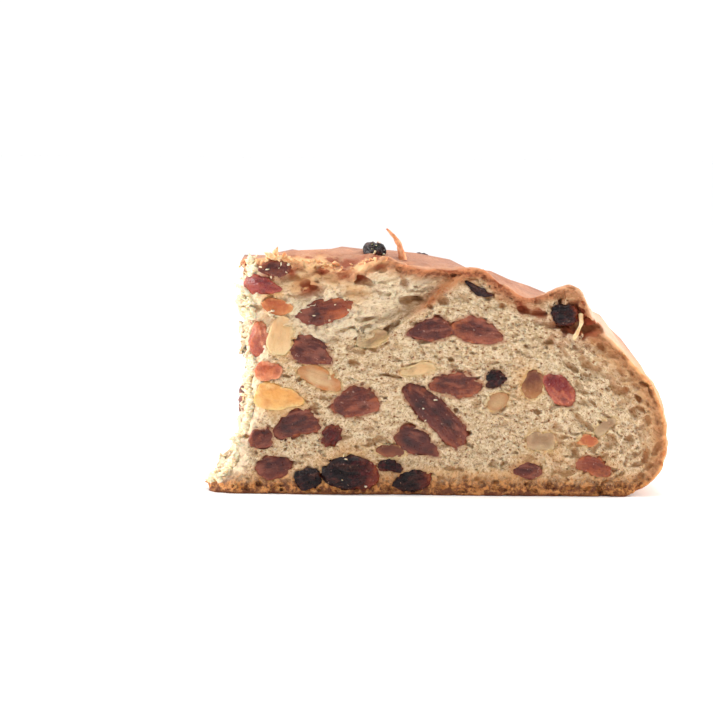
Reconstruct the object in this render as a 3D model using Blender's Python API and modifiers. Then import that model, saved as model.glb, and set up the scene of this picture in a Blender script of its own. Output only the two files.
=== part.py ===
"""A cut piece of pandolce, the low domed fruit bread of Genoa, in metres with +Z up.

The piece is a wedge of a round loaf. Its knife-cut face looks along -Y, a torn face looks
along -X, and the crust dome falls away to the right and to the back. The origin is the
middle of the piece's footprint. Every raisin, currant, nut and candied fruit that shows is
its own object, set in a pocket of the bread. Lengths in the tables are in millimetres.
"""

import math
import random

import bmesh
import bpy
from mathutils import Matrix, Vector, noise

MM = 0.001

# The whole loaf that the piece is cut from: a turned dome with its axis inside the piece.
LOAF_RADIUS = 100 * MM
LOAF_HEIGHT = 72.6 * MM
BELLY_HEIGHT = 16 * MM
FOOT_INSET = 12 * MM
LOAF_AXIS = Vector((-30 * MM, -41.5 * MM, 0))
DOME_ROWS = 20
FOOT_ROWS = 3
LOAF_STEPS = 80

# The two cuts meet in a rounded corner, and the foot of the torn face spreads outwards.
FRONT_Y = -56.5 * MM
CORNER_X = -56 * MM
CORNER_ROUND = 7 * MM
TORN_SLANT = math.radians(2.5)
FOOT_SPREAD = 11 * MM
FOOT_SPREAD_HEIGHT = 15 * MM
FOOT_SPREAD_DEPTH = 45 * MM
CUT_RIGHT_END = 82 * MM
CUT_LEFT_LENGTH = 130 * MM
CUT_BOTTOM = -4 * MM
CUT_TOP = 86 * MM
CUT_THICKNESS = 120 * MM
FRONT_SHARE = 0.50
CORNER_SHARE = 0.05
CUT_COLUMNS = 54
CUT_ROWS = 20

# Depth of the uneven relief on each surface
FRONT_SWELL = 0.45 * MM
TORN_SWELL = 1.5 * MM
CRUST_SWELL = 0.7 * MM

# Clearance between a fruit and its pocket
POCKET_GAP = 0.42 * MM

# Swells and dents of the crust: bearing from +X, drop from the summit (90 is the widest
# ring), height, half length, half width and turn from the ring's direction.
CRUST_FORMS = (
    (-86, 8.6, -4.6, 6.5, 9, 90),
    (-28, 18.5, -2.8, 11, 9, 20),
    (-19, 28, 2.0, 7, 10, 0),
    (-9, 36, -4.4, 7, 9, 90),
    (-12, 43.4, 7.2, 6.2, 7.5, 90),
    (0, 51, 2.8, 8, 8, 90),
    (4, 24, -2.6, 26, 3.4, 20),
    (30, 40, -1.8, 22, 3.2, 65),
    (24, 66, 2.0, 14, 8, 15),
    (48, 58, -2.0, 8, 6, 40),
    (56, 36, 2.2, 13, 9, 110),
    (70, 70, 2.0, 16, 7, 5),
    (84, 48, -2.2, 14, 4, 75),
    (98, 66, 1.8, 10, 8, 30),
    (110, 30, 1.6, 14, 9, 60),
    (38, 80, -1.6, 12, 5, 0),
    (88, 84, -1.4, 9, 5, 0),
)

# Holes that open in the knife-cut face: x, height, half length, half width, depth, tilt
HOLLOWS = (
    (40.6, 52.9, 7.2, 4.0, 6.0, -30),
    (-7.4, 58.4, 4.6, 1.5, 4.0, 18),
    (24.9, 56.0, 2.6, 1.4, 2.6, -35),
    (30.3, 54.8, 2.4, 1.5, 2.6, -15),
    (48.1, 45.3, 2.7, 1.2, 2.4, -35),
    (-13.5, 35.6, 3.8, 1.1, 2.2, -9),
    (-23.0, 63.6, 4.4, 1.3, 2.6, -4),
)

# Fruit in the knife-cut face: kind, x, height, length, width, tilt, cut level with the face
FRONT_FRUIT = (
    ("raisin", -33.4, 54.9, 15.0, 5.8, 12, True),
    ("raisin", -37.6, 42.4, 12.6, 7.2, -12, False),
    ("pine_nut", -35.2, 35.0, 12.2, 5.6, -22, True),
    ("candied_orange", -46.8, 28.8, 13.2, 6.2, -5, True),
    ("candied_cherry", -49.8, 36.8, 7.6, 4.6, 8, True),
    ("candied_cherry", -54.4, 46.0, 10.4, 6.8, 84, False),
    ("candied_citron", -46.6, 47.4, 10.0, 6.2, 80, True),
    ("candied_orange", -47.6, 56.0, 8.4, 4.0, -10, False),
    ("raisin", -48.6, 67.4, 8.4, 3.8, 5, False),
    ("candied_cherry", -53.2, 62.0, 12.0, 4.8, -6, False),
    ("raisin", -24.1, 27.6, 13.5, 8.1, 8, True),
    ("raisin", -0.1, 24.2, 18.6, 7.2, -42, False),
    ("raisin", -5.6, 15.8, 11.0, 6.8, -30, False),
    ("raisin", -2.2, 49.1, 12.6, 6.2, 5, True),
    ("raisin", 11.8, 49.1, 14.2, 6.8, -10, True),
    ("raisin", 5.8, 33.2, 15.0, 6.6, -3, True),
    ("currant", 17.3, 34.8, 6.2, 4.2, 5, False),
    ("pine_nut", 18.1, 28.5, 6.0, 4.6, 30, True),
    ("candied_cherry", 36.4, 32.0, 11.5, 6.4, -50, False),
    ("golden_raisin", 28.7, 33.4, 7.0, 4.6, 80, True),
    ("candied_citron", 31.3, 16.4, 7.2, 4.5, 0, True),
    ("candied_citron", 50.6, 21.2, 6.0, 2.6, 35, True),
    ("candied_orange", 45.2, 16.6, 5.4, 2.6, 0, True),
    ("raisin", 46.9, 9.0, 10.8, 5.1, -12, True),
    ("raisin", 27.1, 7.6, 8.1, 3.9, -5, False),
    ("golden_raisin", -13.4, 13.2, 8.1, 3.4, -5, True),
    ("currant", -14.0, 8.4, 7.0, 3.2, -8, False),
    ("currant", -25.8, 6.3, 15.4, 9.4, -3, False),
    ("currant", -38.0, 4.6, 7.0, 6.0, 0, False),
    ("raisin", -41.4, 20.2, 13.0, 7.6, 15, False),
    ("raisin", -52.0, 16.6, 6.6, 6.0, 20, False),
    ("raisin", -48.4, 8.0, 9.0, 6.2, 10, False),
    ("currant", -31.2, 17.4, 5.8, 5.0, 45, False),
    ("currant", -6.6, 4.2, 10.0, 5.4, 10, False),
    ("currant", 37.8, 54.4, 7.0, 5.2, 0, False),
    ("candied_citron", -5.4, 37.6, 9.8, 2.8, 8, True),
    ("candied_citron", -19.3, 46.6, 8.4, 4.0, 15, True),
    ("currant", 12.3, 61.6, 7.4, 2.4, -25, False),
)

# Fruit in the torn face: kind, y, height, length, width, tilt, cut level with the face
TORN_FRUIT = (
    ("raisin", -40, 52, 12, 6.6, 20, False),
    ("raisin", -21.0, 26.0, 13.4, 7.4, -24, False),
    ("candied_orange", -12, 46, 9, 6, 40, True),
    ("raisin", 6, 15, 12, 7, 5, False),
    ("currant", 8, 50, 7, 5, -10, False),
    ("candied_citron", 21, 36, 9, 5, -15, True),
    ("raisin", 33, 18, 11, 7, 30, False),
    ("candied_cherry", -26, 61, 9, 5.4, -20, False),
)

# Fruit in the crust: kind, bearing, drop, length, width, turn, share that stands proud
CRUST_FRUIT = (
    ("currant", -33.7, 7.6, 7.8, 5.0, 60, 0.62),
    ("currant", 41.6, 19.8, 6.2, 4.4, 20, 0.5),
    ("raisin", 22, 50, 10, 6.4, 30, 0.34),
    ("raisin", 52, 47, 11, 7, -40, 0.34),
    ("candied_orange", 76, 60, 9, 7, 10, 0.3),
    ("candied_citron", 60, 72, 9, 6.5, -20, 0.26),
    ("currant", 98, 50, 7.5, 5.4, 60, 0.4),
    ("raisin", 14, 74, 9, 6, 0, 0.3),
    ("raisin", 90, 76, 10, 6, 15, 0.32),
    ("currant", 68, 28, 7, 5, 80, 0.42),
)

# Kinds of fruit: thickness as a share of width, boxiness (1 is round), wrinkle depth,
# segments round and rings along, colour and roughness
FRUIT_KINDS = {
    "raisin": (0.85, 1.0, 0.20, 8, 5, (0.20, 0.06, 0.035), 0.35),
    "currant": (0.90, 1.0, 0.20, 8, 5, (0.030, 0.014, 0.014), 0.35),
    "golden_raisin": (0.80, 1.0, 0.14, 8, 5, (0.52, 0.24, 0.09), 0.35),
    "pine_nut": (0.90, 1.0, 0.05, 8, 5, (0.78, 0.60, 0.36), 0.50),
    "candied_orange": (0.70, 0.72, 0.08, 8, 5, (0.85, 0.42, 0.10), 0.30),
    "candied_citron": (0.75, 0.72, 0.08, 8, 5, (0.74, 0.62, 0.34), 0.35),
    "candied_cherry": (0.85, 0.9, 0.12, 8, 5, (0.42, 0.07, 0.04), 0.25),
}
SUNK_SHARE = 0.26
FRUIT_SEED = 7

# The thin curl of crust that stands up at the rim: points, and the share of its full width
CURL_POINTS = ((-10.6, -50, 70.4), (-11.3, -50, 73.2), (-12.2, -50.2, 76.2), (-15.2, -50.6, 79.4))
CURL_WIDTHS = (1.0, 0.85, 0.7, 0.28)
CURL_THICKNESS = 0.95 * MM

CRUST_COLOUR = (0.50, 0.22, 0.10)


def smooth_step(low, high, value):
    """0 below low, 1 above high, and an even curve between them."""
    share = min(max((value - low) / (high - low), 0.0), 1.0)
    return share * share * (3.0 - 2.0 * share)


def make_waves(seed, count, length):
    """Waves of about one length in scattered directions, each with its own phase."""
    draw = random.Random(seed)
    waves = []
    for _ in range(count):
        direction = Vector((draw.gauss(0, 1), draw.gauss(0, 1), draw.gauss(0, 1))).normalized()
        number = math.tau / (length * MM * draw.uniform(0.75, 1.35))
        waves.append((direction * number, draw.uniform(0, math.tau)))
    return waves


CRUST_WAVES = make_waves(11, 14, 34) + make_waves(12, 8, 17)
FRONT_WAVES = make_waves(21, 10, 26)
TORN_WAVES = make_waves(31, 10, 19) + make_waves(32, 14, 10)


def swell(waves, point):
    """Sum of the waves at a point, about -1 to 1."""
    total = sum(math.sin(wave.dot(point) + phase) for wave, phase in waves)
    return total / math.sqrt(len(waves))


# ---------------------------------------------------------------- crust dome


def dome_point(bearing, drop):
    """Point and outward direction on the plain dome, both angles in degrees."""
    turn = math.radians(bearing)
    fall = math.radians(drop)
    rise = LOAF_HEIGHT - BELLY_HEIGHT
    side = Vector((math.cos(turn), math.sin(turn), 0))
    up = Vector((0, 0, 1))
    point = LOAF_AXIS + side * LOAF_RADIUS * math.sin(fall) + up * (BELLY_HEIGHT + rise * math.cos(fall))
    normal = (side * rise * math.sin(fall) + up * LOAF_RADIUS * math.cos(fall)).normalized()
    return point, normal


def make_crust_forms():
    """Each crust form as its centre, its two scaled directions and its height."""
    forms = []
    for bearing, drop, height, half_length, half_width, turn in CRUST_FORMS:
        centre, normal = dome_point(bearing, drop)
        ring = Vector((0, 0, 1)).cross(normal).normalized()
        along = Matrix.Rotation(math.radians(turn), 3, normal) @ ring
        across = normal.cross(along)
        forms.append((centre, along / (half_length * MM), across / (half_width * MM), height * MM))
    return forms


PLACED_CRUST_FORMS = make_crust_forms()


def crust_relief(point):
    """How far the crust stands out from the plain dome at a point of that dome."""
    height = CRUST_SWELL * swell(CRUST_WAVES, point)
    for centre, along, across, form_height in PLACED_CRUST_FORMS:
        away = point - centre
        height += form_height * math.exp(-(along.dot(away) ** 2) - across.dot(away) ** 2)
    return height * smooth_step(1 * MM, 12 * MM, point.z)


def dome_profile():
    """Outline of the loaf in the XZ plane, from the summit down to the middle of its foot."""
    rise = LOAF_HEIGHT - BELLY_HEIGHT
    points = []
    for row in range(DOME_ROWS + 1):
        fall = math.pi / 2 * row / DOME_ROWS
        points.append((LOAF_RADIUS * math.sin(fall), 0, BELLY_HEIGHT + rise * math.cos(fall)))
    for row in range(1, FOOT_ROWS + 1):
        share = row / FOOT_ROWS
        points.append((LOAF_RADIUS - FOOT_INSET * share**3, 0, BELLY_HEIGHT * (1 - share)))
    points.append((0, 0, 0))
    return points


def dome_normal(point):
    """Outward direction of the plain dome at one of its points."""
    away = point - LOAF_AXIS
    above = max(point.z - BELLY_HEIGHT, 0)
    rise = LOAF_HEIGHT - BELLY_HEIGHT
    return Vector((away.x / LOAF_RADIUS**2, away.y / LOAF_RADIUS**2, above / rise**2)).normalized()


def make_loaf(collection):
    """The whole loaf: the turned profile, then the crust's swells and dents."""
    points = dome_profile()
    mesh = bpy.data.meshes.new("loaf_profile")
    mesh.from_pydata(points, [(index, index + 1) for index in range(len(points) - 1)], [])
    profile = bpy.data.objects.new("loaf_profile", mesh)
    collection.objects.link(profile)
    profile.location = LOAF_AXIS
    screw = profile.modifiers.new("turn", "SCREW")
    screw.steps = LOAF_STEPS
    screw.render_steps = LOAF_STEPS
    screw.use_merge_vertices = True
    screw.merge_threshold = 0.0001
    loaf = applied_copy(profile, "loaf", collection)
    bpy.data.objects.remove(profile)
    for vertex in loaf.data.vertices:
        start = vertex.co.copy()
        vertex.co = start + dome_normal(start) * crust_relief(start)
    return loaf


# ---------------------------------------------------------------- the two cuts


def foot_spread(height):
    """How far the foot of the torn face stands out at a height."""
    return FOOT_SPREAD * math.exp(-((max(height, 0) / FOOT_SPREAD_HEIGHT) ** 2))


def cut_path(share, height):
    """Point and outward direction of the cuts: share 0 is the right end of the knife cut,
    and 1 the back end of the torn face."""
    corner_turn = math.pi / 2 - TORN_SLANT
    tangent = CORNER_ROUND * math.tan(corner_turn / 2)
    corner_x = CORNER_X - foot_spread(height)
    corner_end = FRONT_SHARE + CORNER_SHARE
    if share < FRONT_SHARE:
        left_end = corner_x + tangent
        x = CUT_RIGHT_END + (left_end - CUT_RIGHT_END) * share / FRONT_SHARE
        return Vector((x, FRONT_Y, height)), Vector((0, -1, 0))
    if share < corner_end:
        turn = corner_turn * (share - FRONT_SHARE) / CORNER_SHARE
        centre = Vector((corner_x + tangent, FRONT_Y + CORNER_ROUND, height))
        normal = Vector((-math.sin(turn), -math.cos(turn), 0))
        return centre + normal * CORNER_ROUND, normal
    away = tangent + CUT_LEFT_LENGTH * (share - corner_end) / (1 - corner_end)
    along = Vector((-math.sin(TORN_SLANT), math.cos(TORN_SLANT), 0))
    normal = Vector((-math.cos(TORN_SLANT), -math.sin(TORN_SLANT), 0))
    spread_left = foot_spread(height) * math.exp(-((away / FOOT_SPREAD_DEPTH) ** 2))
    corner = Vector((CORNER_X - spread_left, FRONT_Y, height))
    return corner + along * away, normal


def cut_relief(share, point):
    """How far the cut surface stands out: nearly level on the knife cut, craggy where torn."""
    torn = smooth_step(FRONT_SHARE - 0.02, FRONT_SHARE + CORNER_SHARE, share)
    level = FRONT_SWELL * swell(FRONT_WAVES, point)
    craggy = TORN_SWELL * swell(TORN_WAVES, point)
    return level + (craggy - level) * torn


def cut_surface(share, height):
    """Point and outward direction of the finished cut surface."""
    point, normal = cut_path(share, height)
    return point + normal * cut_relief(share, point), normal


def find_share(axis, value, height, low, high):
    """Share of the path at which one coordinate (0 is x, 1 is y) has a value."""
    rising = cut_path(high, height)[0][axis] > cut_path(low, height)[0][axis]
    for _ in range(30):
        middle = (low + high) / 2
        if (cut_path(middle, height)[0][axis] < value) == rising:
            low = middle
        else:
            high = middle
    return (low + high) / 2


def make_knife(collection):
    """Solid of all that is cut away. Its near side is the cut surface of the piece."""
    bm = bmesh.new()
    bmesh.ops.create_grid(bm, x_segments=CUT_COLUMNS, y_segments=CUT_ROWS, size=0.5)
    extruded = bmesh.ops.extrude_face_region(bm, geom=bm.faces[:])
    for item in extruded["geom"]:
        if isinstance(item, bmesh.types.BMVert):
            item.co.z = 1
    for vertex in bm.verts:
        share = vertex.co.x + 0.5
        height = CUT_BOTTOM + (CUT_TOP - CUT_BOTTOM) * (vertex.co.y + 0.5)
        if vertex.co.z > 0.5:
            point, normal = cut_path(share, height)
            vertex.co = point + normal * CUT_THICKNESS
        else:
            vertex.co = cut_surface(share, height)[0]
    return solid_from(bm, "knife", collection)


def make_hollow(row, name, collection):
    """Rounded cutter of one hole in the knife-cut face."""
    x, height, half_length, half_width, depth, tilt = row
    share = find_share(0, x * MM, height * MM, 0, FRONT_SHARE)
    centre, normal = cut_surface(share, height * MM)
    bm = bmesh.new()
    bmesh.ops.create_uvsphere(bm, u_segments=10, v_segments=5, radius=1)
    frame = face_frame(centre, normal, tilt)
    size = Matrix.Diagonal((half_width * MM, depth * MM, half_length * MM, 1))
    bmesh.ops.transform(bm, matrix=frame @ size, verts=bm.verts[:])
    return solid_from(bm, name, collection)


# ---------------------------------------------------------------- fruit


def face_frame(centre, normal, tilt):
    """Frame with Z along the tilted length, X across it and Y out of the surface."""
    up = Vector((0, 0, 1))
    right = up.cross(normal).normalized()
    rise = normal.cross(right)
    angle = math.radians(tilt)
    along = right * math.cos(angle) + rise * math.sin(angle)
    across = normal.cross(along)
    frame = Matrix((across, normal, along)).transposed().to_4x4()
    frame.translation = centre
    return frame


def signed_power(value, power):
    return math.copysign(abs(value) ** power, value)


def make_fruit_solid(fruit, grow):
    """Mesh of one fruit, grown outwards by a clearance for its pocket."""
    kind, centre, normal, length, width, tilt, depth, level, seed = fruit
    thick_share, boxiness, wrinkle, segments, rings, _, _ = FRUIT_KINDS[kind]
    draw = random.Random(seed)
    offset = Vector((draw.uniform(-50, 50), draw.uniform(-50, 50), draw.uniform(-50, 50)))
    half = Vector((width / 2, width * thick_share / 2, length / 2)) * MM
    bm = bmesh.new()
    bmesh.ops.create_uvsphere(bm, u_segments=segments, v_segments=rings, radius=1)
    for vertex in bm.verts:
        unit = vertex.co.copy()
        body = Vector([signed_power(unit[axis], boxiness) * half[axis] for axis in range(3)])
        body *= 1 + wrinkle * noise.noise(unit * 1.6 + offset)
        outward = Vector([unit[axis] / half[axis] for axis in range(3)]).normalized()
        vertex.co = body + outward * grow
    bmesh.ops.triangulate(bm, faces=bm.faces[:], quad_method="FIXED")
    frame = face_frame(centre - normal * depth, normal, tilt)
    bmesh.ops.transform(bm, matrix=frame, verts=bm.verts[:])
    if level and grow == 0:
        cut_level(bm, centre, normal)
    return bm


def cut_level(bm, centre, normal):
    """Cuts the fruit level with the bread's face and closes it."""
    geometry = bm.verts[:] + bm.edges[:] + bm.faces[:]
    plane = centre + normal * 0.1 * MM
    bmesh.ops.bisect_plane(bm, geom=geometry, plane_co=plane, plane_no=normal, clear_outer=True)
    rim = [edge for edge in bm.edges if edge.is_boundary]
    bmesh.ops.holes_fill(bm, edges=rim)


def list_fruit():
    """All the fruit: kind, centre on the surface, outward direction, length, width, tilt,
    depth of its middle below the surface, whether it is cut level, and its seed."""
    corner_end = FRONT_SHARE + CORNER_SHARE
    fruit = []
    for kind, x, height, length, width, tilt, level in FRONT_FRUIT:
        share = find_share(0, x * MM, height * MM, 0, corner_end)
        centre, normal = cut_surface(share, height * MM)
        depth = SUNK_SHARE * width * FRUIT_KINDS[kind][0] * MM
        fruit.append((kind, centre, normal, length, width, tilt, depth, level))
    for kind, y, height, length, width, tilt, level in TORN_FRUIT:
        share = find_share(1, y * MM, height * MM, corner_end, 1)
        centre, normal = cut_surface(share, height * MM)
        depth = SUNK_SHARE * width * FRUIT_KINDS[kind][0] * MM
        fruit.append((kind, centre, normal, length, width, tilt, depth, level))
    for kind, bearing, drop, length, width, turn, proud in CRUST_FRUIT:
        point, normal = dome_point(bearing, drop)
        centre = point + normal * crust_relief(point)
        depth = (0.5 - proud) * width * FRUIT_KINDS[kind][0] * MM
        fruit.append((kind, centre, normal, length, width, turn, depth, False))
    return [(*row, FRUIT_SEED + index) for index, row in enumerate(fruit)]


def make_fruit_pieces(collection, pockets):
    """One object and one pocket cutter for each fruit, numbered within its kind."""
    counts = dict.fromkeys(FRUIT_KINDS, 0)
    for fruit in list_fruit():
        kind = fruit[0]
        counts[kind] += 1
        name = f"{kind}_{counts[kind]:02d}"
        piece = solid_from(make_fruit_solid(fruit, 0), name, collection)
        piece.data.shade_smooth()
        piece.data.set_sharp_from_angle(angle=math.radians(50))
        colour, roughness = FRUIT_KINDS[kind][5:7]
        piece.data.materials.append(make_material(name, colour, roughness))
        make_cutter(solid_from(make_fruit_solid(fruit, POCKET_GAP), name + "_pocket", pockets))


# ---------------------------------------------------------------- bread


def make_curl(collection):
    """The curl of crust at the rim, a tapering curve made into a mesh."""
    curve = bpy.data.curves.new("curl", "CURVE")
    curve.dimensions = "3D"
    curve.bevel_depth = CURL_THICKNESS
    curve.bevel_resolution = 1
    curve.use_fill_caps = True
    curve.resolution_u = 3
    spline = curve.splines.new("NURBS")
    spline.points.add(len(CURL_POINTS) - 1)
    for point, place, width in zip(spline.points, CURL_POINTS, CURL_WIDTHS):
        point.co = (*(Vector(place) * MM), 1)
        point.radius = width
    spline.order_u = 3
    spline.use_endpoint_u = True
    guide = bpy.data.objects.new("curl_guide", curve)
    collection.objects.link(guide)
    curl = applied_copy(guide, "curl", collection)
    bpy.data.objects.remove(guide)
    bm = bmesh.new()
    bm.from_mesh(curl.data)
    bmesh.ops.remove_doubles(bm, verts=bm.verts[:], dist=0.01 * MM)
    bmesh.ops.recalc_face_normals(bm, faces=bm.faces[:])
    bm.to_mesh(curl.data)
    bm.free()
    return make_cutter(curl)


def add_boolean(target, operation, other):
    """Adds a Boolean with an object or with all the objects of a collection. MANIFOLD keeps
    the bread closed where two pockets touch, and EXACT leaves shared edges there."""
    boolean = target.modifiers.new(operation.lower(), "BOOLEAN")
    boolean.operation = operation
    boolean.solver = "MANIFOLD"
    if isinstance(other, bpy.types.Collection):
        boolean.operand_type = "COLLECTION"
        boolean.collection = other
    else:
        boolean.object = other


def keep_largest_body(piece):
    """Drops the loose scraps and the slivers that the cutting leaves."""
    bm = bmesh.new()
    bm.from_mesh(piece.data)
    bmesh.ops.remove_doubles(bm, verts=bm.verts[:], dist=0.003 * MM)
    bmesh.ops.dissolve_degenerate(bm, edges=bm.edges[:], dist=0.01 * MM)
    left = set(bm.faces)
    bodies = []
    while left:
        body = [left.pop()]
        for face in body:
            for edge in face.edges:
                for other in edge.link_faces:
                    if other in left:
                        left.remove(other)
                        body.append(other)
        bodies.append(body)
    bodies.sort(key=len)
    scraps = [face for body in bodies[:-1] for face in body]
    bmesh.ops.delete(bm, geom=scraps, context="FACES")
    bm.to_mesh(piece.data)
    bm.free()


def make_bread(collection, cutters, pockets):
    """The bread: the loaf, less what is cut away, with its curl, hollows and pockets."""
    loaf = make_loaf(cutters)
    knife = make_cutter(make_knife(cutters))
    add_boolean(loaf, "DIFFERENCE", knife)
    add_boolean(loaf, "UNION", make_curl(cutters))
    add_boolean(loaf, "DIFFERENCE", pockets)
    bread = applied_copy(loaf, "bread", collection)
    bpy.data.objects.remove(loaf)
    keep_largest_body(bread)
    bread.data.shade_smooth()
    bread.data.set_sharp_from_angle(angle=math.radians(40))
    bread.data.materials.append(make_material("bread", CRUST_COLOUR, 0.6))
    return bread


# ---------------------------------------------------------------- helpers


def make_material(name, colour, roughness):
    material = bpy.data.materials.new(name)
    material.use_nodes = True
    shader = material.node_tree.nodes["Principled BSDF"]
    shader.inputs["Base Color"].default_value = (*colour, 1)
    shader.inputs["Roughness"].default_value = roughness
    shader.inputs["Metallic"].default_value = 0
    return material


def solid_from(bm, name, collection):
    """Object made of a closed bmesh, with its faces turned outwards."""
    bmesh.ops.recalc_face_normals(bm, faces=bm.faces[:])
    mesh = bpy.data.meshes.new(name)
    bm.to_mesh(mesh)
    bm.free()
    piece = bpy.data.objects.new(name, mesh)
    collection.objects.link(piece)
    return piece


def applied_copy(source, name, collection):
    """New mesh object in world space, with the source's modifiers applied."""
    bpy.context.view_layer.update()
    graph = bpy.context.evaluated_depsgraph_get()
    mesh = bpy.data.meshes.new_from_object(source.evaluated_get(graph))
    mesh.transform(source.matrix_world)
    mesh.name = name
    piece = bpy.data.objects.new(name, mesh)
    collection.objects.link(piece)
    return piece


def make_cutter(piece):
    piece.hide_render = True
    piece.display_type = "WIRE"
    return piece


def make_collection(name):
    collection = bpy.data.collections.new(name)
    bpy.context.scene.collection.children.link(collection)
    return collection


def main():
    for piece in list(bpy.data.objects):
        bpy.data.objects.remove(piece)
    collection = make_collection("pandolce")
    cutters = make_collection("cutters")
    pockets = make_collection("pockets")
    for index, row in enumerate(HOLLOWS):
        make_cutter(make_hollow(row, f"hollow_{index + 1:02d}", pockets))
    make_fruit_pieces(collection, pockets)
    make_bread(collection, cutters, pockets)


main()
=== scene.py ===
"""Looks of the cut piece of pandolce: crumb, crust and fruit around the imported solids.

The bread is drawn as a volume: the distance to the crust dome and to the two cuts, with
pores, tears and pockets taken out of it. The volume is turned into one mesh, whose points
remember how deep they lie, and the materials read that. Lengths are in millimetres in the
tables and in the volume, and in metres in Blender.
"""

import math
import random

import bmesh
import bpy
import numpy as np
from mathutils import Matrix, Vector, bvhtree, kdtree, noise


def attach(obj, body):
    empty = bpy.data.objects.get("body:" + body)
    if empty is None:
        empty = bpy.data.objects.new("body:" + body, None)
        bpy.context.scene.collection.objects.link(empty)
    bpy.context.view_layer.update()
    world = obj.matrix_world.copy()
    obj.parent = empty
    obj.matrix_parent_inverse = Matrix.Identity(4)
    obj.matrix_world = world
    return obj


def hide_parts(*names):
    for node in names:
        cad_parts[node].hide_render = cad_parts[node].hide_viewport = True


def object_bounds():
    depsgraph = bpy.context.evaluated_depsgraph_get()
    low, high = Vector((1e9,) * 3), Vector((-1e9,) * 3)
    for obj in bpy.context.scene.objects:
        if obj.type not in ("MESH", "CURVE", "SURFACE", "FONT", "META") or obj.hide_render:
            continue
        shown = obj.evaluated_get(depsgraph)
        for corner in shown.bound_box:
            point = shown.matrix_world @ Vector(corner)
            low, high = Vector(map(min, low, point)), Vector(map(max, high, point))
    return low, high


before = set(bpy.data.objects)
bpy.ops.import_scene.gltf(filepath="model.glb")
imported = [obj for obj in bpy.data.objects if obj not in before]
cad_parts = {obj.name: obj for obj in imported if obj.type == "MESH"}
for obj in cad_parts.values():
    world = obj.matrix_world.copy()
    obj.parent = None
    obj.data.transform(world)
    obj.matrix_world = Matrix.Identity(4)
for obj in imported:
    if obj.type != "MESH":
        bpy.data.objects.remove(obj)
CAD_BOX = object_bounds()

MM = 0.001

# ---------------------------------------------------------------- shape of the bread

# The loaf and its two cuts, as the solids have them: the dome, the knife-cut face at FRONT_Y,
# the torn face from CORNER_X, how its foot spreads, and how much each surface swells
LOAF_RADIUS = 100.0
LOAF_HEIGHT = 72.6
BELLY_HEIGHT = 16.0
FOOT_INSET = 12.0
LOAF_AXIS = (-30.0, -41.5)
FRONT_Y = -56.5
CORNER_X = -56.0
CORNER_ROUND = 7.0
TORN_SLANT = math.radians(2.5)
FOOT_SPREAD = 11.0
FOOT_SPREAD_HEIGHT = 15.0
FOOT_SPREAD_DEPTH = 45.0
FRONT_SWELL = 0.45
TORN_SWELL = 1.5
CRUST_SWELL = 0.7

# Swells and dents of the crust: bearing from +X, drop from the summit, height, half
# length, half width and turn
CRUST_FORMS = (
    (-86, 8.6, -4.6, 6.5, 9, 90),
    (-28, 18.5, -2.8, 11, 9, 20),
    (-19, 28, 2.0, 7, 10, 0),
    (-9, 36, -4.4, 7, 9, 90),
    (-12, 43.4, 6.3, 7.2, 8.0, 90),
    (0, 51, 2.8, 8, 8, 90),
    (4, 24, -2.6, 26, 3.4, 20),
    (30, 40, -1.8, 22, 3.2, 65),
    (24, 66, 2.0, 14, 8, 15),
    (48, 58, -2.0, 8, 6, 40),
    (56, 36, 2.2, 13, 9, 110),
    (70, 70, 2.0, 16, 7, 5),
    (84, 48, -2.2, 14, 4, 75),
    (98, 66, 1.8, 10, 8, 30),
    (110, 30, 1.6, 14, 9, 60),
    (38, 80, -1.6, 12, 5, 0),
    (88, 84, -1.4, 9, 5, 0),
)

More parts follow.
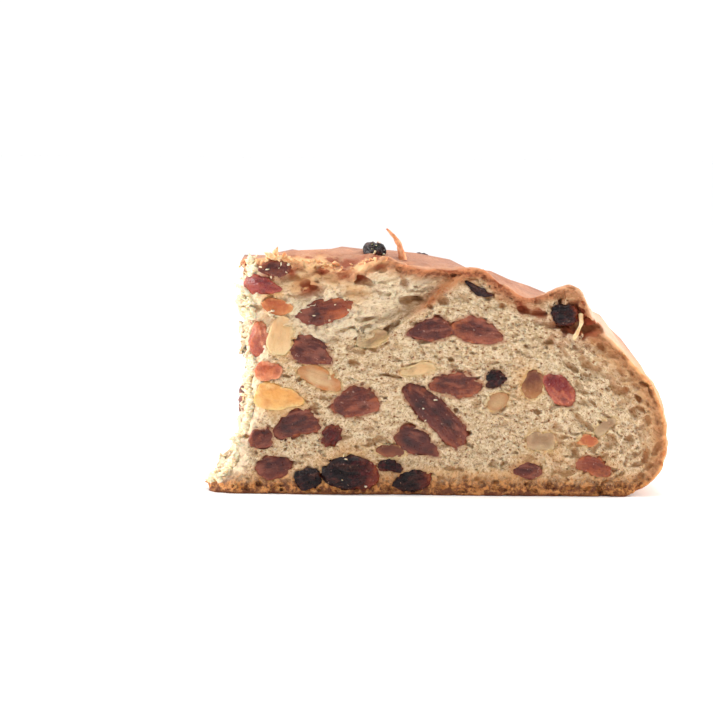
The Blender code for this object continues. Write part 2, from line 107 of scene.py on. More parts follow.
# Holes and tears of the knife-cut face: x, height, half length, half width, depth, tilt
FRONT_HOLES = (
    (41.0, 52.7, 7.8, 4.2, 6.0, -29),
    (-7.4, 58.4, 4.6, 1.4, 4.5, 18),
    (25.2, 56.2, 2.6, 1.6, 2.6, -40),
    (30.4, 54.4, 2.2, 2.0, 2.6, -20),
    (48.1, 45.3, 2.6, 1.0, 2.2, -35),
    (45.6, 38.6, 2.4, 0.9, 2.0, -12),
    (60.0, 30.0, 2.2, 0.9, 2.0, -48),
    (63.6, 31.4, 2.4, 0.5, 2.2, -68),
    (63.0, 23.4, 1.2, 0.9, 1.6, -80),
    (43.9, 23.8, 1.7, 1.3, 1.4, 10),
    (51.2, 20.8, 1.8, 1.2, 1.4, 30),
    (-24.8, 39.6, 1.9, 0.7, 1.8, -12),
    (-22.6, 36.8, 1.7, 0.6, 1.5, -5),
    (-13.5, 35.6, 3.8, 0.6, 2.2, -9),
    (-7.3, 39.0, 3.4, 0.5, 1.6, 6),
    (-37.5, 61.8, 3.2, 1.6, 2.6, -30),
    (-34.0, 66.6, 2.2, 0.9, 2.0, -8),
    (-23.0, 64.2, 4.4, 1.3, 2.4, -4),
    (-20.0, 52.6, 4.2, 0.6, 1.8, 8),
    (-13.0, 50.4, 3.6, 0.5, 1.8, 22),
    (-26.0, 50.0, 3.0, 0.6, 1.6, 18),
    (-16.0, 44.8, 3.2, 0.5, 1.6, 30),
    (-34.2, 29.0, 1.9, 0.8, 1.6, -8),
    (16.0, 39.8, 2.4, 0.5, 1.4, 4),
    (27.0, 44.6, 1.8, 0.7, 1.4, -30),
    (36.0, 44.8, 2.4, 0.6, 1.4, -32),
    (53.0, 38.0, 1.9, 0.8, 1.5, -50),
    (58.5, 36.6, 1.7, 0.7, 1.5, -52),
    (22.0, 24.0, 1.6, 0.7, 1.3, -10),
    (12.0, 12.8, 2.2, 0.7, 1.4, 6),
    (36.5, 10.6, 1.8, 0.6, 1.4, 0),
    (17.6, 4.2, 2.2, 0.8, 1.6, 8),
    (-20.0, 20.0, 1.8, 0.6, 1.4, 12),
    (4.0, 8.0, 1.7, 0.6, 1.3, -6),
    (53.6, 12.4, 1.6, 0.7, 1.2, 20),
)

# The fold that runs from the rim into the knife-cut face: points as x and height
FOLD_LINE = (
    (12.6, 67.6),
    (5.6, 65.0),
    (1.0, 61.4),
    (-2.6, 57.6),
    (-7.0, 54.6),
    (-11.2, 51.2),
    (-15.4, 46.8),
    (-22.0, 43.4),
    (-27.6, 44.4),
)

# How far the fold sets the face back, where above the fold that ends, and its lip below
FOLD_DEPTH = 2.6
FOLD_REACH = (2.5, 13.0)
FOLD_LIP = 0.8

# Warm places in the knife-cut face, x, height, half length, half height and strength: crumb
# turned amber by the fruit, at the left edge also a painted glow of light through the thin edge,
# and the red walls of the recesses under the crust, a painted glow of light through the crust
AMBER_SPOTS = (
    (-53.5, 55.0, 3.0, 6.5, 1.0),
    (-46.0, 46.5, 7.0, 5.5, 0.6),
    (-49.0, 40.0, 6.0, 4.0, 0.5),
    (4.0, 5.2, 62.0, 3.4, 0.6),
    (-50.0, 60.5, 4.5, 3.4, 0.9),
    (-40.0, 62.6, 5.5, 3.4, 0.9),
    (-30.0, 64.0, 5.0, 2.2, 0.6),
    (-24.0, 61.0, 5.0, 4.5, 0.8),
    (-34.5, 66.0, 5.0, 2.0, 0.6),
    (-46.0, 27.0, 9.0, 5.0, 0.5),
    (26.5, 33.0, 4.5, 5.5, 0.7),
    (-26.0, 9.0, 10.0, 6.0, 0.6),
    (28.0, 8.5, 6.0, 4.0, 0.7),
    (36.0, 12.0, 5.0, 6.0, 0.4),
    (47.0, 9.0, 8.0, 4.0, 0.5),
)
EMBER_SPOTS = (
    (-38.6, 61.8, 4.0, 2.6, 0.9),
    (-34.2, 66.8, 2.2, 1.4, 0.9),
    (-24.4, 65.2, 4.6, 1.5, 1.0),
    (-17.0, 68.2, 4.0, 1.2, 0.8),
    (-43.5, 66.4, 1.5, 2.0, 0.9),
    (-50.0, 64.6, 5.0, 1.6, 0.7),
    (42.5, 52.5, 9.0, 7.0, 1.0),
    (25.5, 56.0, 3.0, 2.2, 0.8),
    (30.5, 54.5, 3.0, 2.6, 0.8),
)

# Volume grid: step on the cut faces, step in the depth of the bread, how deep the fine step
# goes and how far the grid reaches past the solids
FINE_STEP = 0.45
DEEP_STEP = 0.95
FINE_DEPTH = 10.0
GRID_MARGIN = 2.0

# Thinning of the bread's mesh: most triangles, depth from the knife-cut face that is kept
# finest, and the share of the thinning that reaches it
MOST_TRIANGLES = 196000
KEEP_DEPTH = 7.0
KEEP_SHARE = 0.12

# Pores: seed, number in each face, half width in the middle of the range on the knife-cut
# face, its spread and largest value, the same on the torn face, and how ragged the walls are
PORE_SEED = 5
FRONT_PORES = 5600
TORN_PORES = 2600
PORE_SIZE = 0.23
PORE_SPREAD = 0.5
PORE_LARGEST = 1.05
TORN_PORE_SIZE = 0.5
TORN_PORE_SPREAD = 0.45
TORN_PORE_LARGEST = 1.5
RAGGED = 0.55

# Least height and least depth below the crust of a pore's middle
PORE_LOWEST = 1.2
PORE_COVER = 0.8

# Cells in each side of a block of noise
TILE_CELLS = 96

# Skin of each kind of fruit: depth and size of its folds, and how much longer they are than
# wide, depth of its dents and depth of its grain
FRUIT_SKIN = {
    "raisin": (0.52, 1.9, 2.6, 0.8, 0.12),
    "currant": (0.75, 1.6, 1.6, 0.6, 0.2),
    "golden_raisin": (0.26, 1.9, 2.4, 0.6, 0.10),
    "pine_nut": (0.06, 3.0, 2.0, 0.35, 0.05),
    "candied_orange": (0.14, 2.6, 1.5, 0.8, 0.08),
    "candied_citron": (0.14, 2.4, 1.5, 0.7, 0.08),
    "candied_cherry": (0.5, 1.8, 1.8, 0.8, 0.2),
}

# Single fruit: how light within the kind (0 to 1), how much lighter at the right end, how
# pointed the ends are (0 to 1), how much wider at the right end, and how arched
FRUIT_FORMS = {
    "raisin_01": (0.42, 1.00, 0.45, 0.05, -0.06),
    "raisin_02": (0.10, 0.00, 0.1, -0.42, 0.30),
    "raisin_03": (0.10, 0.00, 0.2, 0.20, 0.00),
    "raisin_04": (0.30, 0.15, 0.2, 0.22, 0.08),
    "raisin_05": (0.00, 0.15, -0.35, 0.12, 0.05),
    "raisin_06": (0.03, 0.10, 0.6, -0.35, 0.12),
    "raisin_07": (0.12, 0.25, 0.6, 0.22, 0.16),
    "raisin_08": (0.36, -0.10, 0.55, -0.10, 0.14),
    "raisin_09": (0.34, 0.10, 0.2, 0.08, 0.05),
    "raisin_10": (0.72, 0.00, 0.7, 0.30, 0.14),
    "raisin_11": (0.08, 0.30, 0.4, 0.00, 0.06),
    "raisin_12": (0.20, 0.20, 0.1, 0.15, 0.30),
    "raisin_13": (0.26, 0.00, 0.1, 0.00, 0.00),
    "raisin_14": (0.12, 0.00, 0.1, 0.00, 0.00),
    "currant_01": (0.12, 0.10, 0.5, -0.30, 0.15),
    "currant_02": (0.20, 0.00, 0.6, 0.00, 0.30),
    "currant_03": (0.10, 0.90, 0.1, 0.10, 0.03),
    "currant_04": (0.05, 0.00, 0.0, -0.15, 0.00),
    "currant_05": (0.55, 0.00, 0.1, 0.00, 0.00),
    "currant_06": (0.05, 0.85, 0.3, 0.10, 0.00),
    "currant_07": (0.10, 0.50, 0.1, 0.00, 0.00),
    "currant_08": (0.00, 0.00, 0.7, -0.20, -0.15),
    "golden_raisin_01": (0.60, -0.70, 0.2, 0.00, 0.00),
    "golden_raisin_02": (0.00, 0.00, 0.5, 0.00, 0.06),
    "pine_nut_01": (0.70, 0.20, 0.1, 0.00, 0.05),
    "pine_nut_02": (0.20, 0.00, 0.0, 0.00, 0.00),
    "candied_orange_01": (1.00, -0.30, 0.3, -0.45, 0.06),
    "candied_orange_02": (0.05, 0.30, 0.5, -0.20, 0.00),
    "candied_orange_03": (0.10, 0.00, 0.5, 0.00, 0.12),
    "candied_citron_01": (1.00, -0.20, 0.1, -0.20, 0.00),
    "candied_citron_02": (0.05, 0.20, 0.0, 0.00, 0.00),
    "candied_citron_03": (0.05, 0.00, 0.3, 0.00, 0.10),
    "candied_citron_04": (0.75, 0.00, 0.6, 0.00, 0.05),
    "candied_citron_05": (0.45, 0.20, 0.6, 0.00, 0.00),
    "candied_cherry_01": (0.80, 0.00, 0.2, -0.20, 0.00),
    "candied_cherry_02": (0.48, 0.30, 0.2, 0.20, 0.05),
    "candied_cherry_03": (0.05, 0.00, 0.5, -0.50, 0.00),
    "candied_cherry_04": (0.22, 0.20, 0.3, 0.10, 0.12),
    "currant_10": (0.00, 0.00, 0.1, 0.00, 0.00),
}

# Cut fruit lie almost level with the knife-cut face: the share left of what stands proud of
# it, by kind and otherwise, and how far below the face that share starts
CUT_PROUD = {"currant": 0.7, "candied_cherry": 0.5}
LEVEL_PROUD = 0.22
SUNK = 0.28

# Size in the knife-cut face against the solid's, for all fruit and then for single ones
CUT_GROWTH = 1.08
FRUIT_SIZES = {
    "raisin_01": 1.14,
    "raisin_05": 1.2,
    "raisin_06": 1.18,
    "raisin_08": 1.06,
    "raisin_09": 0.97,
    "raisin_14": 1.1,
    "golden_raisin_01": 1.15,
    "candied_cherry_02": 1.3,
    "pine_nut_01": 1.06,
}

# Extra detail: the curl of crust at the rim and the strand in the hollow, as x, y, height
# and radius
CURL = (
    (-10.4, -50.0, 70.0, 1.3),
    (-11.0, -50.0, 73.4, 0.95),
    (-12.6, -50.2, 76.8, 0.7),
    (-15.4, -50.6, 79.4, 0.25),
)
STRAND = (
    (42.6, -55.6, 54.4, 0.8),
    (42.8, -56.9, 52.0, 0.6),
    (41.8, -57.3, 49.6, 0.5),
    (40.6, -56.4, 47.2, 0.7),
)

# Uneven skin of the curl and the strand: size and height of its bumps
THREAD_BUMPS = 1.6
THREAD_BEND = 0.22

# Shards of crust along the rim by the torn face: number, half size, range of x, and how much
# larger they are left of LARGE_SHARDS_X
SHARDS = 110
SHARD_SIZE = 0.66
SHARD_RANGE = (-58.0, -14.0)
LARGE_SHARDS_X = -40.0
LARGE_SHARD = 1.25

# Ragged crumbs that cling to the torn face: number, half size, seed, and how much larger they
# are this near the knife-cut face
FLAKES = 1500
FLAKE_SIZE = 0.62
FLAKE_SEED = 9
LARGE_FLAKE = 1.45
LARGE_FLAKE_DEPTH = 7.0

# Flecks of crumb on single fruit, and their range of half sizes
FLECKED_FRUIT = {
    "raisin_01": 4,
    "raisin_03": 9,
    "raisin_05": 3,
    "currant_03": 7,
    "currant_10": 12,
}
FLECK_SIZES = (0.3, 0.65)


def smooth_step(low, high, value):
    share = np.clip((value - low) / (high - low), 0.0, 1.0)
    return share * share * (3.0 - 2.0 * share)


def make_waves(seed, count, length):
    """Waves of about one length in scattered directions, drawn as the solids draw them."""
    draw = random.Random(seed)
    waves = []
    for _ in range(count):
        direction = Vector((draw.gauss(0, 1), draw.gauss(0, 1), draw.gauss(0, 1))).normalized()
        number = math.tau / (length * draw.uniform(0.75, 1.35))
        waves.append((*(direction * number), draw.uniform(0, math.tau)))
    return np.array(waves, np.float32)


CRUST_WAVES = np.concatenate([make_waves(11, 14, 34), make_waves(12, 8, 17)])
FRONT_WAVES = make_waves(21, 10, 26)
TORN_WAVES = np.concatenate([make_waves(31, 10, 19), make_waves(32, 14, 10)])


def swell(waves, x, y, z):
    """Sum of the waves at points, of about -1 to 1."""
    total = 0
    for wave_x, wave_y, wave_z, phase in waves:
        total = total + np.sin(wave_x * x + wave_y * y + wave_z * z + phase)
    return total / math.sqrt(len(waves))


def dome_distance(x, y, z):
    """Distance outside the plain dome, and the outward direction, at points."""
    away_x = x - LOAF_AXIS[0]
    away_y = y - LOAF_AXIS[1]
    radius = np.sqrt(away_x**2 + away_y**2) + 1e-6
    rise = LOAF_HEIGHT - BELLY_HEIGHT
    above = np.maximum(z - BELLY_HEIGHT, 0)
    below = np.clip((BELLY_HEIGHT - z) / BELLY_HEIGHT, 0, 1)
    ratio = np.sqrt((radius / LOAF_RADIUS) ** 2 + (above / rise) ** 2)
    slope_out = radius / LOAF_RADIUS**2
    slope_up = above / rise**2
    steep = np.sqrt(slope_out**2 + slope_up**2)
    upper = (ratio - 1) * ratio / steep
    lower = radius - (LOAF_RADIUS - FOOT_INSET * below**3)
    distance = np.where(z > BELLY_HEIGHT, upper, lower)
    out = slope_out / steep
    normal = (out * away_x / radius, out * away_y / radius, slope_up / steep)
    return distance, normal


def make_crust_forms():
    """Swells and dents placed on the dome: middle, length and width directions, height."""
    forms = []
    rise = LOAF_HEIGHT - BELLY_HEIGHT
    for bearing, drop, height, half_length, half_width, turn in CRUST_FORMS:
        side = Vector((math.cos(math.radians(bearing)), math.sin(math.radians(bearing)), 0))
        fall = math.radians(drop)
        centre = Vector((*LOAF_AXIS, BELLY_HEIGHT + rise * math.cos(fall)))
        centre += side * LOAF_RADIUS * math.sin(fall)
        up = Vector((0, 0, 1))
        normal = (side * rise * math.sin(fall) + up * LOAF_RADIUS * math.cos(fall)).normalized()
        ring = up.cross(normal).normalized()
        along = Matrix.Rotation(math.radians(turn), 3, normal) @ ring
        across = normal.cross(along)
        forms.append((centre, along / half_length, across / half_width, height))
    return forms


PLACED_CRUST_FORMS = make_crust_forms()


def crust_relief(x, y, z):
    """Height of the crust over the plain dome at points of the dome."""
    height = CRUST_SWELL * swell(CRUST_WAVES, x, y, z)
    for centre, along, across, form_height in PLACED_CRUST_FORMS:
        away = (x - centre.x, y - centre.y, z - centre.z)
        length = along.x * away[0] + along.y * away[1] + along.z * away[2]
        width = across.x * away[0] + across.y * away[1] + across.z * away[2]
        height = height + form_height * np.exp(-(length**2) - width**2)
    return height * smooth_step(1, 12, z)


def crust_distance(x, y, z):
    """Distance outside the crust with its swells and dents."""
    plain, normal = dome_distance(x, y, z)
    on_dome = [axis - part * plain for axis, part in zip((x, y, z), normal)]
    return plain - crust_relief(*on_dome)


def fold_distance(x, z):
    """Distance from the fold, positive above it, and the share of the way down the fold."""
    best = None
    points = np.array(FOLD_LINE)
    for number, (start, end) in enumerate(zip(points, points[1:])):
        span = end - start
        length = np.hypot(*span)
        share = ((x - start[0]) * span[0] + (z - start[1]) * span[1]) / length**2
        share = np.clip(share, 0, 1)
        away_x = x - start[0] - share * span[0]
        away_z = z - start[1] - share * span[1]
        away = np.hypot(away_x, away_z)
        side = np.sign(span[1] * away_x - span[0] * away_z)
        along = (number + share) / (len(points) - 1)
        if best is None:
            best, signed, way = away, side * away, along
        else:
            nearer = away < best
            signed = np.where(nearer, side * away, signed)
            way = np.where(nearer, along, way)
            best = np.minimum(best, away)
    return signed, way


def fold_relief(x, z):
    """How far the fold sets the knife-cut face back, with a raised lip below it."""
    away, way = fold_distance(x, z)
    ends = smooth_step(0.0, 0.12, way) * (1 - smooth_step(0.82, 1.0, way))
    step = smooth_step(-0.5, 0.7, away) * (1 - smooth_step(*FOLD_REACH, away))
    lip = np.exp(-((away + 1.2) ** 2) / 1.6)
    return ends * (FOLD_DEPTH * step - FOLD_LIP * lip)


def front_surface(x, z):
    """Y of the knife-cut face."""
    plain = FRONT_Y - FRONT_SWELL * swell(FRONT_WAVES, x, FRONT_Y, z)
    return plain + fold_relief(x, z)


def noise_tile(seed, along, across, deep, tilt=0.0):
    """Block of smooth noise of about -1 to 1 that repeats without a seam, sizes in cells."""
    values = np.random.default_rng(seed).normal(size=(TILE_CELLS,) * 3)
    steps = np.fft.fftfreq(TILE_CELLS)
    x, y = steps[:, None, None], steps[None, :, None]
    z = np.abs(steps[None, None, : TILE_CELLS // 2 + 1])
    turn = math.radians(tilt)
    long = x * math.cos(turn) + z * math.sin(turn)
    wide = z * math.cos(turn) - x * math.sin(turn)
    squares = (along * long) ** 2 + (deep * y) ** 2 + (across * wide) ** 2
    kept = np.exp(-2 * math.pi**2 * squares)
    smooth = np.fft.irfftn(np.fft.rfftn(values) * kept, values.shape)
    return (smooth / (2 * smooth.std())).astype(np.float32)


def torn_surface(y, z):
    """X of the torn face."""
    away = (y - FRONT_Y) / math.cos(TORN_SLANT)
    spread = FOOT_SPREAD * np.exp(-((np.maximum(z, 0) / FOOT_SPREAD_HEIGHT) ** 2))
    spread = spread * np.exp(-((np.maximum(away, 0) / FOOT_SPREAD_DEPTH) ** 2))
    x = CORNER_X - spread - math.sin(TORN_SLANT) * away
    return x - TORN_SWELL * swell(TORN_WAVES, x, y, z)


def round_both(first, second, radius):
    """Inside both, with a rounded edge where they meet."""
    corner = np.hypot(np.maximum(first + radius, 0), np.maximum(second + radius, 0))
    return np.minimum(np.maximum(first, second), -radius) + corner


def box_corners():
    """Lowest and highest corner of the solids in millimetres."""
    return (np.array(corner) / MM for corner in CAD_BOX)


def grid_axes():
    """Places of the grid along x, y and z: fine near the knife-cut face, coarser behind."""
    low, high = box_corners()
    low = low - GRID_MARGIN
    high = high + GRID_MARGIN
    xs = np.arange(low[0], high[0], FINE_STEP)
    zs = np.arange(-1.5 * FINE_STEP, high[2], FINE_STEP)
    front = np.arange(low[1], FRONT_Y + FINE_DEPTH, FINE_STEP)
    back = np.arange(front[-1] + DEEP_STEP, high[1], DEEP_STEP)
    return xs, np.concatenate([front, back]), zs


class Volume:
    """The bread as distances on a grid, negative inside."""

    def __init__(self):
        self.xs, self.ys, self.zs = (axis.astype(np.float32) for axis in grid_axes())
        x, y, z = self.xs[:, None, None], self.ys[None, :, None], self.zs[None, None, :]
        dome, _ = dome_distance(x, y, z)
        front = front_surface(x, z) - y
        torn = (torn_surface(y, z) - x) * math.cos(TORN_SLANT)
        self.cut = round_both(front + 0 * torn, torn + 0 * front, CORNER_ROUND)
        near = (dome < 8) & (self.cut < 4)
        crust = dome.astype(np.float32) * np.ones_like(self.cut)
        band = near & (dome > -9)
        points = [axis[band] for axis in np.broadcast_arrays(x, y, z)]
        crust[band] = crust_distance(*points)
        self.crust = crust
        self.field = np.maximum(round_both(crust, self.cut, 0.5), -z).astype(np.float32)
        self.fine = noise_tile(41, 0.95, 0.8, 0.9)
        self.medium = noise_tile(42, 1.9, 1.4, 1.7)
        self.broad = noise_tile(43, 4.5, 3.4, 3.6)
        self.layers = noise_tile(44, 7.0, 1.35, 2.4, 24)

    def tile(self, values, slices):
        """A block of a repeated noise tile that lies over a block of the grid."""
        numbers = [np.arange(part.start, part.stop) % TILE_CELLS for part in slices]
        return values[np.ix_(*numbers)]

    def part(self, low, high):
        """Slices of the grid that cover a box, and the places of their points."""
        slices = []
        for axis, start, end in zip((self.xs, self.ys, self.zs), low, high):
            first = max(int(np.searchsorted(axis, start)) - 1, 0)
            slices.append(slice(first, int(np.searchsorted(axis, end)) + 1))
        x, y, z = self.xs[slices[0]], self.ys[slices[1]], self.zs[slices[2]]
        return tuple(slices), (x[:, None, None], y[None, :, None], z[None, None, :])

    def take_out(self, centre, axes, half):
        """Takes a rounded hole out: its centre, three directions and half sizes."""
        reach = np.sqrt(((axes * np.array(half)[:, None]) ** 2).sum(0)) + 0.6
        slices, places = self.part(centre - reach, centre + reach)
        away = [place - middle for place, middle in zip(places, centre)]
        squares = 0
        for direction, size in zip(axes, half):
            squares = squares + (sum(d * a for d, a in zip(direction, away)) / size) ** 2
        shape = 1 + RAGGED * self.tile(self.medium, slices)
        inside = (shape - np.sqrt(squares)) * min(half)
        self.field[slices] = np.maximum(self.field[slices], inside)

    def roughen(self):
        """Open crumb on the cut faces, torn layers above the fold, fine grain on the crust."""
        numbers = np.nonzero(np.abs(self.field) < 2.6)
        x, y, z = (axis[number] for axis, number in zip((self.xs, self.ys, self.zs), numbers))
        cells = tuple(number % TILE_CELLS for number in numbers)
        fine, medium, broad, layers = (
            values[cells] for values in (self.fine, self.medium, self.broad, self.layers))
        on_cut = smooth_step(-1.2, 0.2, self.cut[numbers] - self.crust[numbers])
        torn = smooth_step(-4, 5, torn_surface(y, z) + 4 - x) * on_cut
        away, _ = fold_distance(x, z)
        layered = smooth_step(-1, 3, away) * (1 - smooth_step(22, 34, away))
        crumb = 0.60 * np.maximum(fine - 0.15, 0) + 0.14 * fine + 0.12 * medium + 0.14 * broad
        tears = 0.9 * layers + 0.8 * np.maximum(layers - 0.3, 0) + 0.25 * medium + 0.3 * broad
        crags = 0.6 + 0.9 * broad + 0.8 * medium + 0.5 * fine
        rim = 1 - smooth_step(1, 9, y - FRONT_Y)
        wrinkles = 0.10 + 0.25 * rim + 0.75 * rim * smooth_step(-2, -30, x)
        grain = 0.05 * fine + (0.06 + 0.5 * wrinkles) * medium + (0.1 + wrinkles) * broad
        detail = on_cut * (crumb + layered * tears + torn * crags) + (1 - on_cut) * grain
        foot = 0.7 * np.maximum(medium, 0) + 0.3 * fine
        detail += on_cut * foot * (1 - smooth_step(2, 6, z))
        detail = detail * smooth_step(-0.3, 1.5, z)
        self.field[numbers] += detail.astype(np.float32)


def surface_net(field, axes):
    """Points and quads of the surface where the field changes sign."""
    inside = field < 0
    cells = tuple(size - 1 for size in field.shape)
    count = np.zeros(cells, np.uint8)
    for corner in np.ndindex(2, 2, 2):
        count += inside[tuple(slice(c, c + n) for c, n in zip(corner, cells))]
    cell_index = np.argwhere((count > 0) & (count < 8))
    number = np.full(cells, -1, np.int32)
    number[tuple(cell_index.T)] = np.arange(len(cell_index))
    values = np.empty((len(cell_index), 2, 2, 2), np.float32)
    for corner in np.ndindex(2, 2, 2):
        values[(slice(None), *corner)] = field[tuple((cell_index + corner).T)]
    total = np.zeros((len(cell_index), 3), np.float32)
    crossings = np.zeros(len(cell_index), np.float32)
    for axis in range(3):
        for side in np.ndindex(2, 2):
            start = list(side)
            start.insert(axis, 0)
            end = list(side)
            end.insert(axis, 1)
            first = values[(slice(None), *start)]
            second = values[(slice(None), *end)]
            crossed = (first < 0) != (second < 0)
            share = np.where(crossed, first / np.where(crossed, first - second, 1), 0)
            for other in range(3):
                total[:, other] += crossed * (share if other == axis else start[other])
            crossings += crossed
    local = total / crossings[:, None]
    points = np.empty_like(local)
    for axis in range(3):
        places = axes[axis]
        low = places[cell_index[:, axis]]
        step = places[cell_index[:, axis] + 1] - low
        points[:, axis] = low + local[:, axis] * step
    return points, net_quads(inside, number)


def net_quads(inside, number):
    """One quad round each grid edge that the surface crosses, facing outwards."""
    quads = []
    for axis in range(3):
        first, second = [other for other in range(3) if other != axis]
        low = [slice(None)] * 3
        high = [slice(None)] * 3
        low[axis] = slice(None, -1)
        high[axis] = slice(1, None)
        starts = inside[tuple(low)]
        changed = starts != inside[tuple(high)]
        edge = np.argwhere(changed)
        keep = (edge[:, first] > 0) & (edge[:, second] > 0)
        edge = edge[keep]
        around = []
        for step_first, step_second in ((1, 1), (0, 1), (0, 0), (1, 0)):
            cell = edge.copy()
            cell[:, first] -= step_first
            cell[:, second] -= step_second
            around.append(number[tuple(cell.T)])
        quad = np.stack(around, 1)
        turn = starts[tuple(edge.T)] != (axis == 1)
        quad[~turn] = quad[~turn][:, ::-1]
        quads.append(quad)
    return np.concatenate(quads)


def mesh_from_arrays(name, points, faces):
    """Blender mesh from points in millimetres and faces of equal length."""
    mesh = bpy.data.meshes.new(name)
    sides = faces.shape[1]
    mesh.vertices.add(len(points))
    mesh.vertices.foreach_set("co", (points * MM).astype(np.float32).ravel())
    mesh.loops.add(faces.size)
    mesh.loops.foreach_set("vertex_index", faces.astype(np.int32).ravel())
    mesh.polygons.add(len(faces))
    mesh.polygons.foreach_set("loop_start", np.arange(0, faces.size, sides, dtype=np.int32))
    mesh.update(calc_edges=True)
    return mesh


def new_piece(name, mesh):
    """A piece of the bread or its fruit, linked into the scene under the root."""
    piece = bpy.data.objects.new(name, mesh)
    bpy.context.scene.collection.objects.link(piece)
    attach(piece, "root")
    return piece


def points_of(mesh):
    """Places of a mesh's points in millimetres."""
    points = np.empty(len(mesh.vertices) * 3, np.float32)
    mesh.vertices.foreach_get("co", points)
    return points.reshape(-1, 3) / MM


def normals_of(mesh):
    normals = np.empty(len(mesh.vertices) * 3, np.float32)
    mesh.vertices.foreach_get("normal", normals)
    return normals.reshape(-1, 3)


def values_of(mesh, name):
    values = np.empty(len(mesh.vertices), np.float32)
    mesh.attributes[name].data.foreach_get("value", values)
    return values


def set_values(mesh, name, values):
    attribute = mesh.attributes.new(name, "FLOAT", "POINT")
    attribute.data.foreach_set("value", np.asarray(values, np.float32))


def set_vectors(mesh, name, vectors):
    """Vectors in millimetres, kept in metres."""
    attribute = mesh.attributes.new(name, "FLOAT_VECTOR", "POINT")
    attribute.data.foreach_set("vector", (vectors * MM).astype(np.float32).ravel())


def applied_mesh(piece):
    """The piece's mesh with its modifiers applied."""
    bpy.context.view_layer.update()
    graph = bpy.context.evaluated_depsgraph_get()
    return bpy.data.meshes.new_from_object(piece.evaluated_get(graph))


# ---------------------------------------------------------------- holes and pores


def face_axes(normal, tilt):
    """Length, depth and width directions of a thing that lies in a face."""
    up = np.array((0.0, 0.0, 1.0))
    right = np.cross(up, normal)
    right /= np.linalg.norm(right)
    rise = np.cross(normal, right)
    angle = math.radians(tilt)
    along = right * math.cos(angle) + rise * math.sin(angle)
    return np.array((along, normal, np.cross(normal, along)))


FRONT_SIDE = np.array((0.0, -1.0, 0.0))
TORN_SIDE = np.array((-math.cos(TORN_SLANT), -math.sin(TORN_SLANT), 0.0))


def add_front_holes(volume):
    for x, height, half_length, half_width, depth, tilt in FRONT_HOLES:
        centre = np.array((x, float(front_surface(x, height)), height))
        volume.take_out(centre, face_axes(FRONT_SIDE, tilt), (half_length, depth, half_width))


def flow_tilts(x, z):
    """Tilt of the crust line nearest to points of the knife-cut face, and their depth."""
    step = 0.5
    right = crust_distance(x + step, FRONT_Y, z)
    left = crust_distance(x - step, FRONT_Y, z)
    above = crust_distance(x, FRONT_Y, z + step)
    below = crust_distance(x, FRONT_Y, z - step)
    tilt = np.degrees(np.arctan2(right - left, below - above))
    return (tilt + 90) % 180 - 90, (right + left) / 2


def open_pores(volume, side, inside, points, tilts, sizes, lengths, depths):
    """Takes the pores with their middle inside out; lengths and depths in sizes."""
    halves = np.stack((sizes * lengths, sizes * depths, sizes), 1)
    for index in np.flatnonzero(inside):
        volume.take_out(points[index], face_axes(side, tilts[index]), halves[index])


def add_front_pores(volume):
    """Small pores, longer along the crust the nearer they lie to it."""
    draw = np.random.default_rng(PORE_SEED)
    low, high = box_corners()
    x = draw.uniform(low[0], high[0], FRONT_PORES)
    z = draw.uniform(PORE_LOWEST, LOAF_HEIGHT, FRONT_PORES)
    tilts, depths = flow_tilts(x, z)
    inside = (depths < -PORE_COVER) & (x > torn_surface(FRONT_Y, z) + 1)
    near_crust = np.exp(np.minimum(depths, 0) / 14)
    tilts = tilts * np.minimum(near_crust * 1.3, 1) + draw.normal(0, 22, FRONT_PORES)
    sizes = PORE_SIZE * np.exp(draw.normal(0, PORE_SPREAD, FRONT_PORES))
    open_crumb = 1 + 0.3 * near_crust + 0.4 * smooth_step(15, 50, x)
    sizes = np.minimum(sizes * open_crumb, PORE_LARGEST)
    lengths = draw.uniform(1.2, 3.4, FRONT_PORES)
    deep = draw.uniform(1.0, 2.0, FRONT_PORES)
    y = front_surface(x, z) + draw.uniform(-0.3, 0.8, FRONT_PORES)
    points = np.stack((x, y, z), 1)
    open_pores(volume, FRONT_SIDE, inside, points, tilts, sizes, lengths, deep)


def add_torn_pores(volume):
    """Larger pores of the torn face."""
    draw = np.random.default_rng(PORE_SEED + 1)
    low, high = box_corners()
    y = draw.uniform(low[1], high[1], TORN_PORES)
    z = draw.uniform(PORE_LOWEST, LOAF_HEIGHT, TORN_PORES)
    x = torn_surface(y, z)
    inside = crust_distance(x, y, z) < -PORE_COVER
    sizes = TORN_PORE_SIZE * np.exp(draw.normal(0, TORN_PORE_SPREAD, TORN_PORES))
    sizes = np.minimum(sizes, TORN_PORE_LARGEST)
    tilts = draw.normal(0, 28, TORN_PORES)
    lengths = draw.uniform(1.2, 2.8, TORN_PORES)
    points = np.stack((x + draw.uniform(-0.4, 1.0, TORN_PORES), y, z), 1)
    open_pores(volume, TORN_SIDE, inside, points, tilts, sizes, lengths, 1.4)


# ---------------------------------------------------------------- fruit

# Subdivision of the solids' cages, and how far the skins grow past them
FRUIT_LEVELS = 3
FRUIT_FILL = 0.42

# Scale of the streaks' noise along, out of and across a fruit
STREAK_STRETCH = (0.3, 1, 1)

# Pockets: how far crumb and fruit overlap, and how many cells before the fruit the pocket is
# open towards the knife-cut face, this far inside the fruit's outline
POCKET_OVERLAP = 0.35
OPEN_CELLS = 3
OPEN_INSET = 0.8


def kind_of(name):
    """Kind of a fruit's node, or of its skin."""
    return name.removesuffix("_skin").rsplit("_", 1)[0]


def fruit_nodes():
    return [name for name in sorted(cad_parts) if name != "bread"]


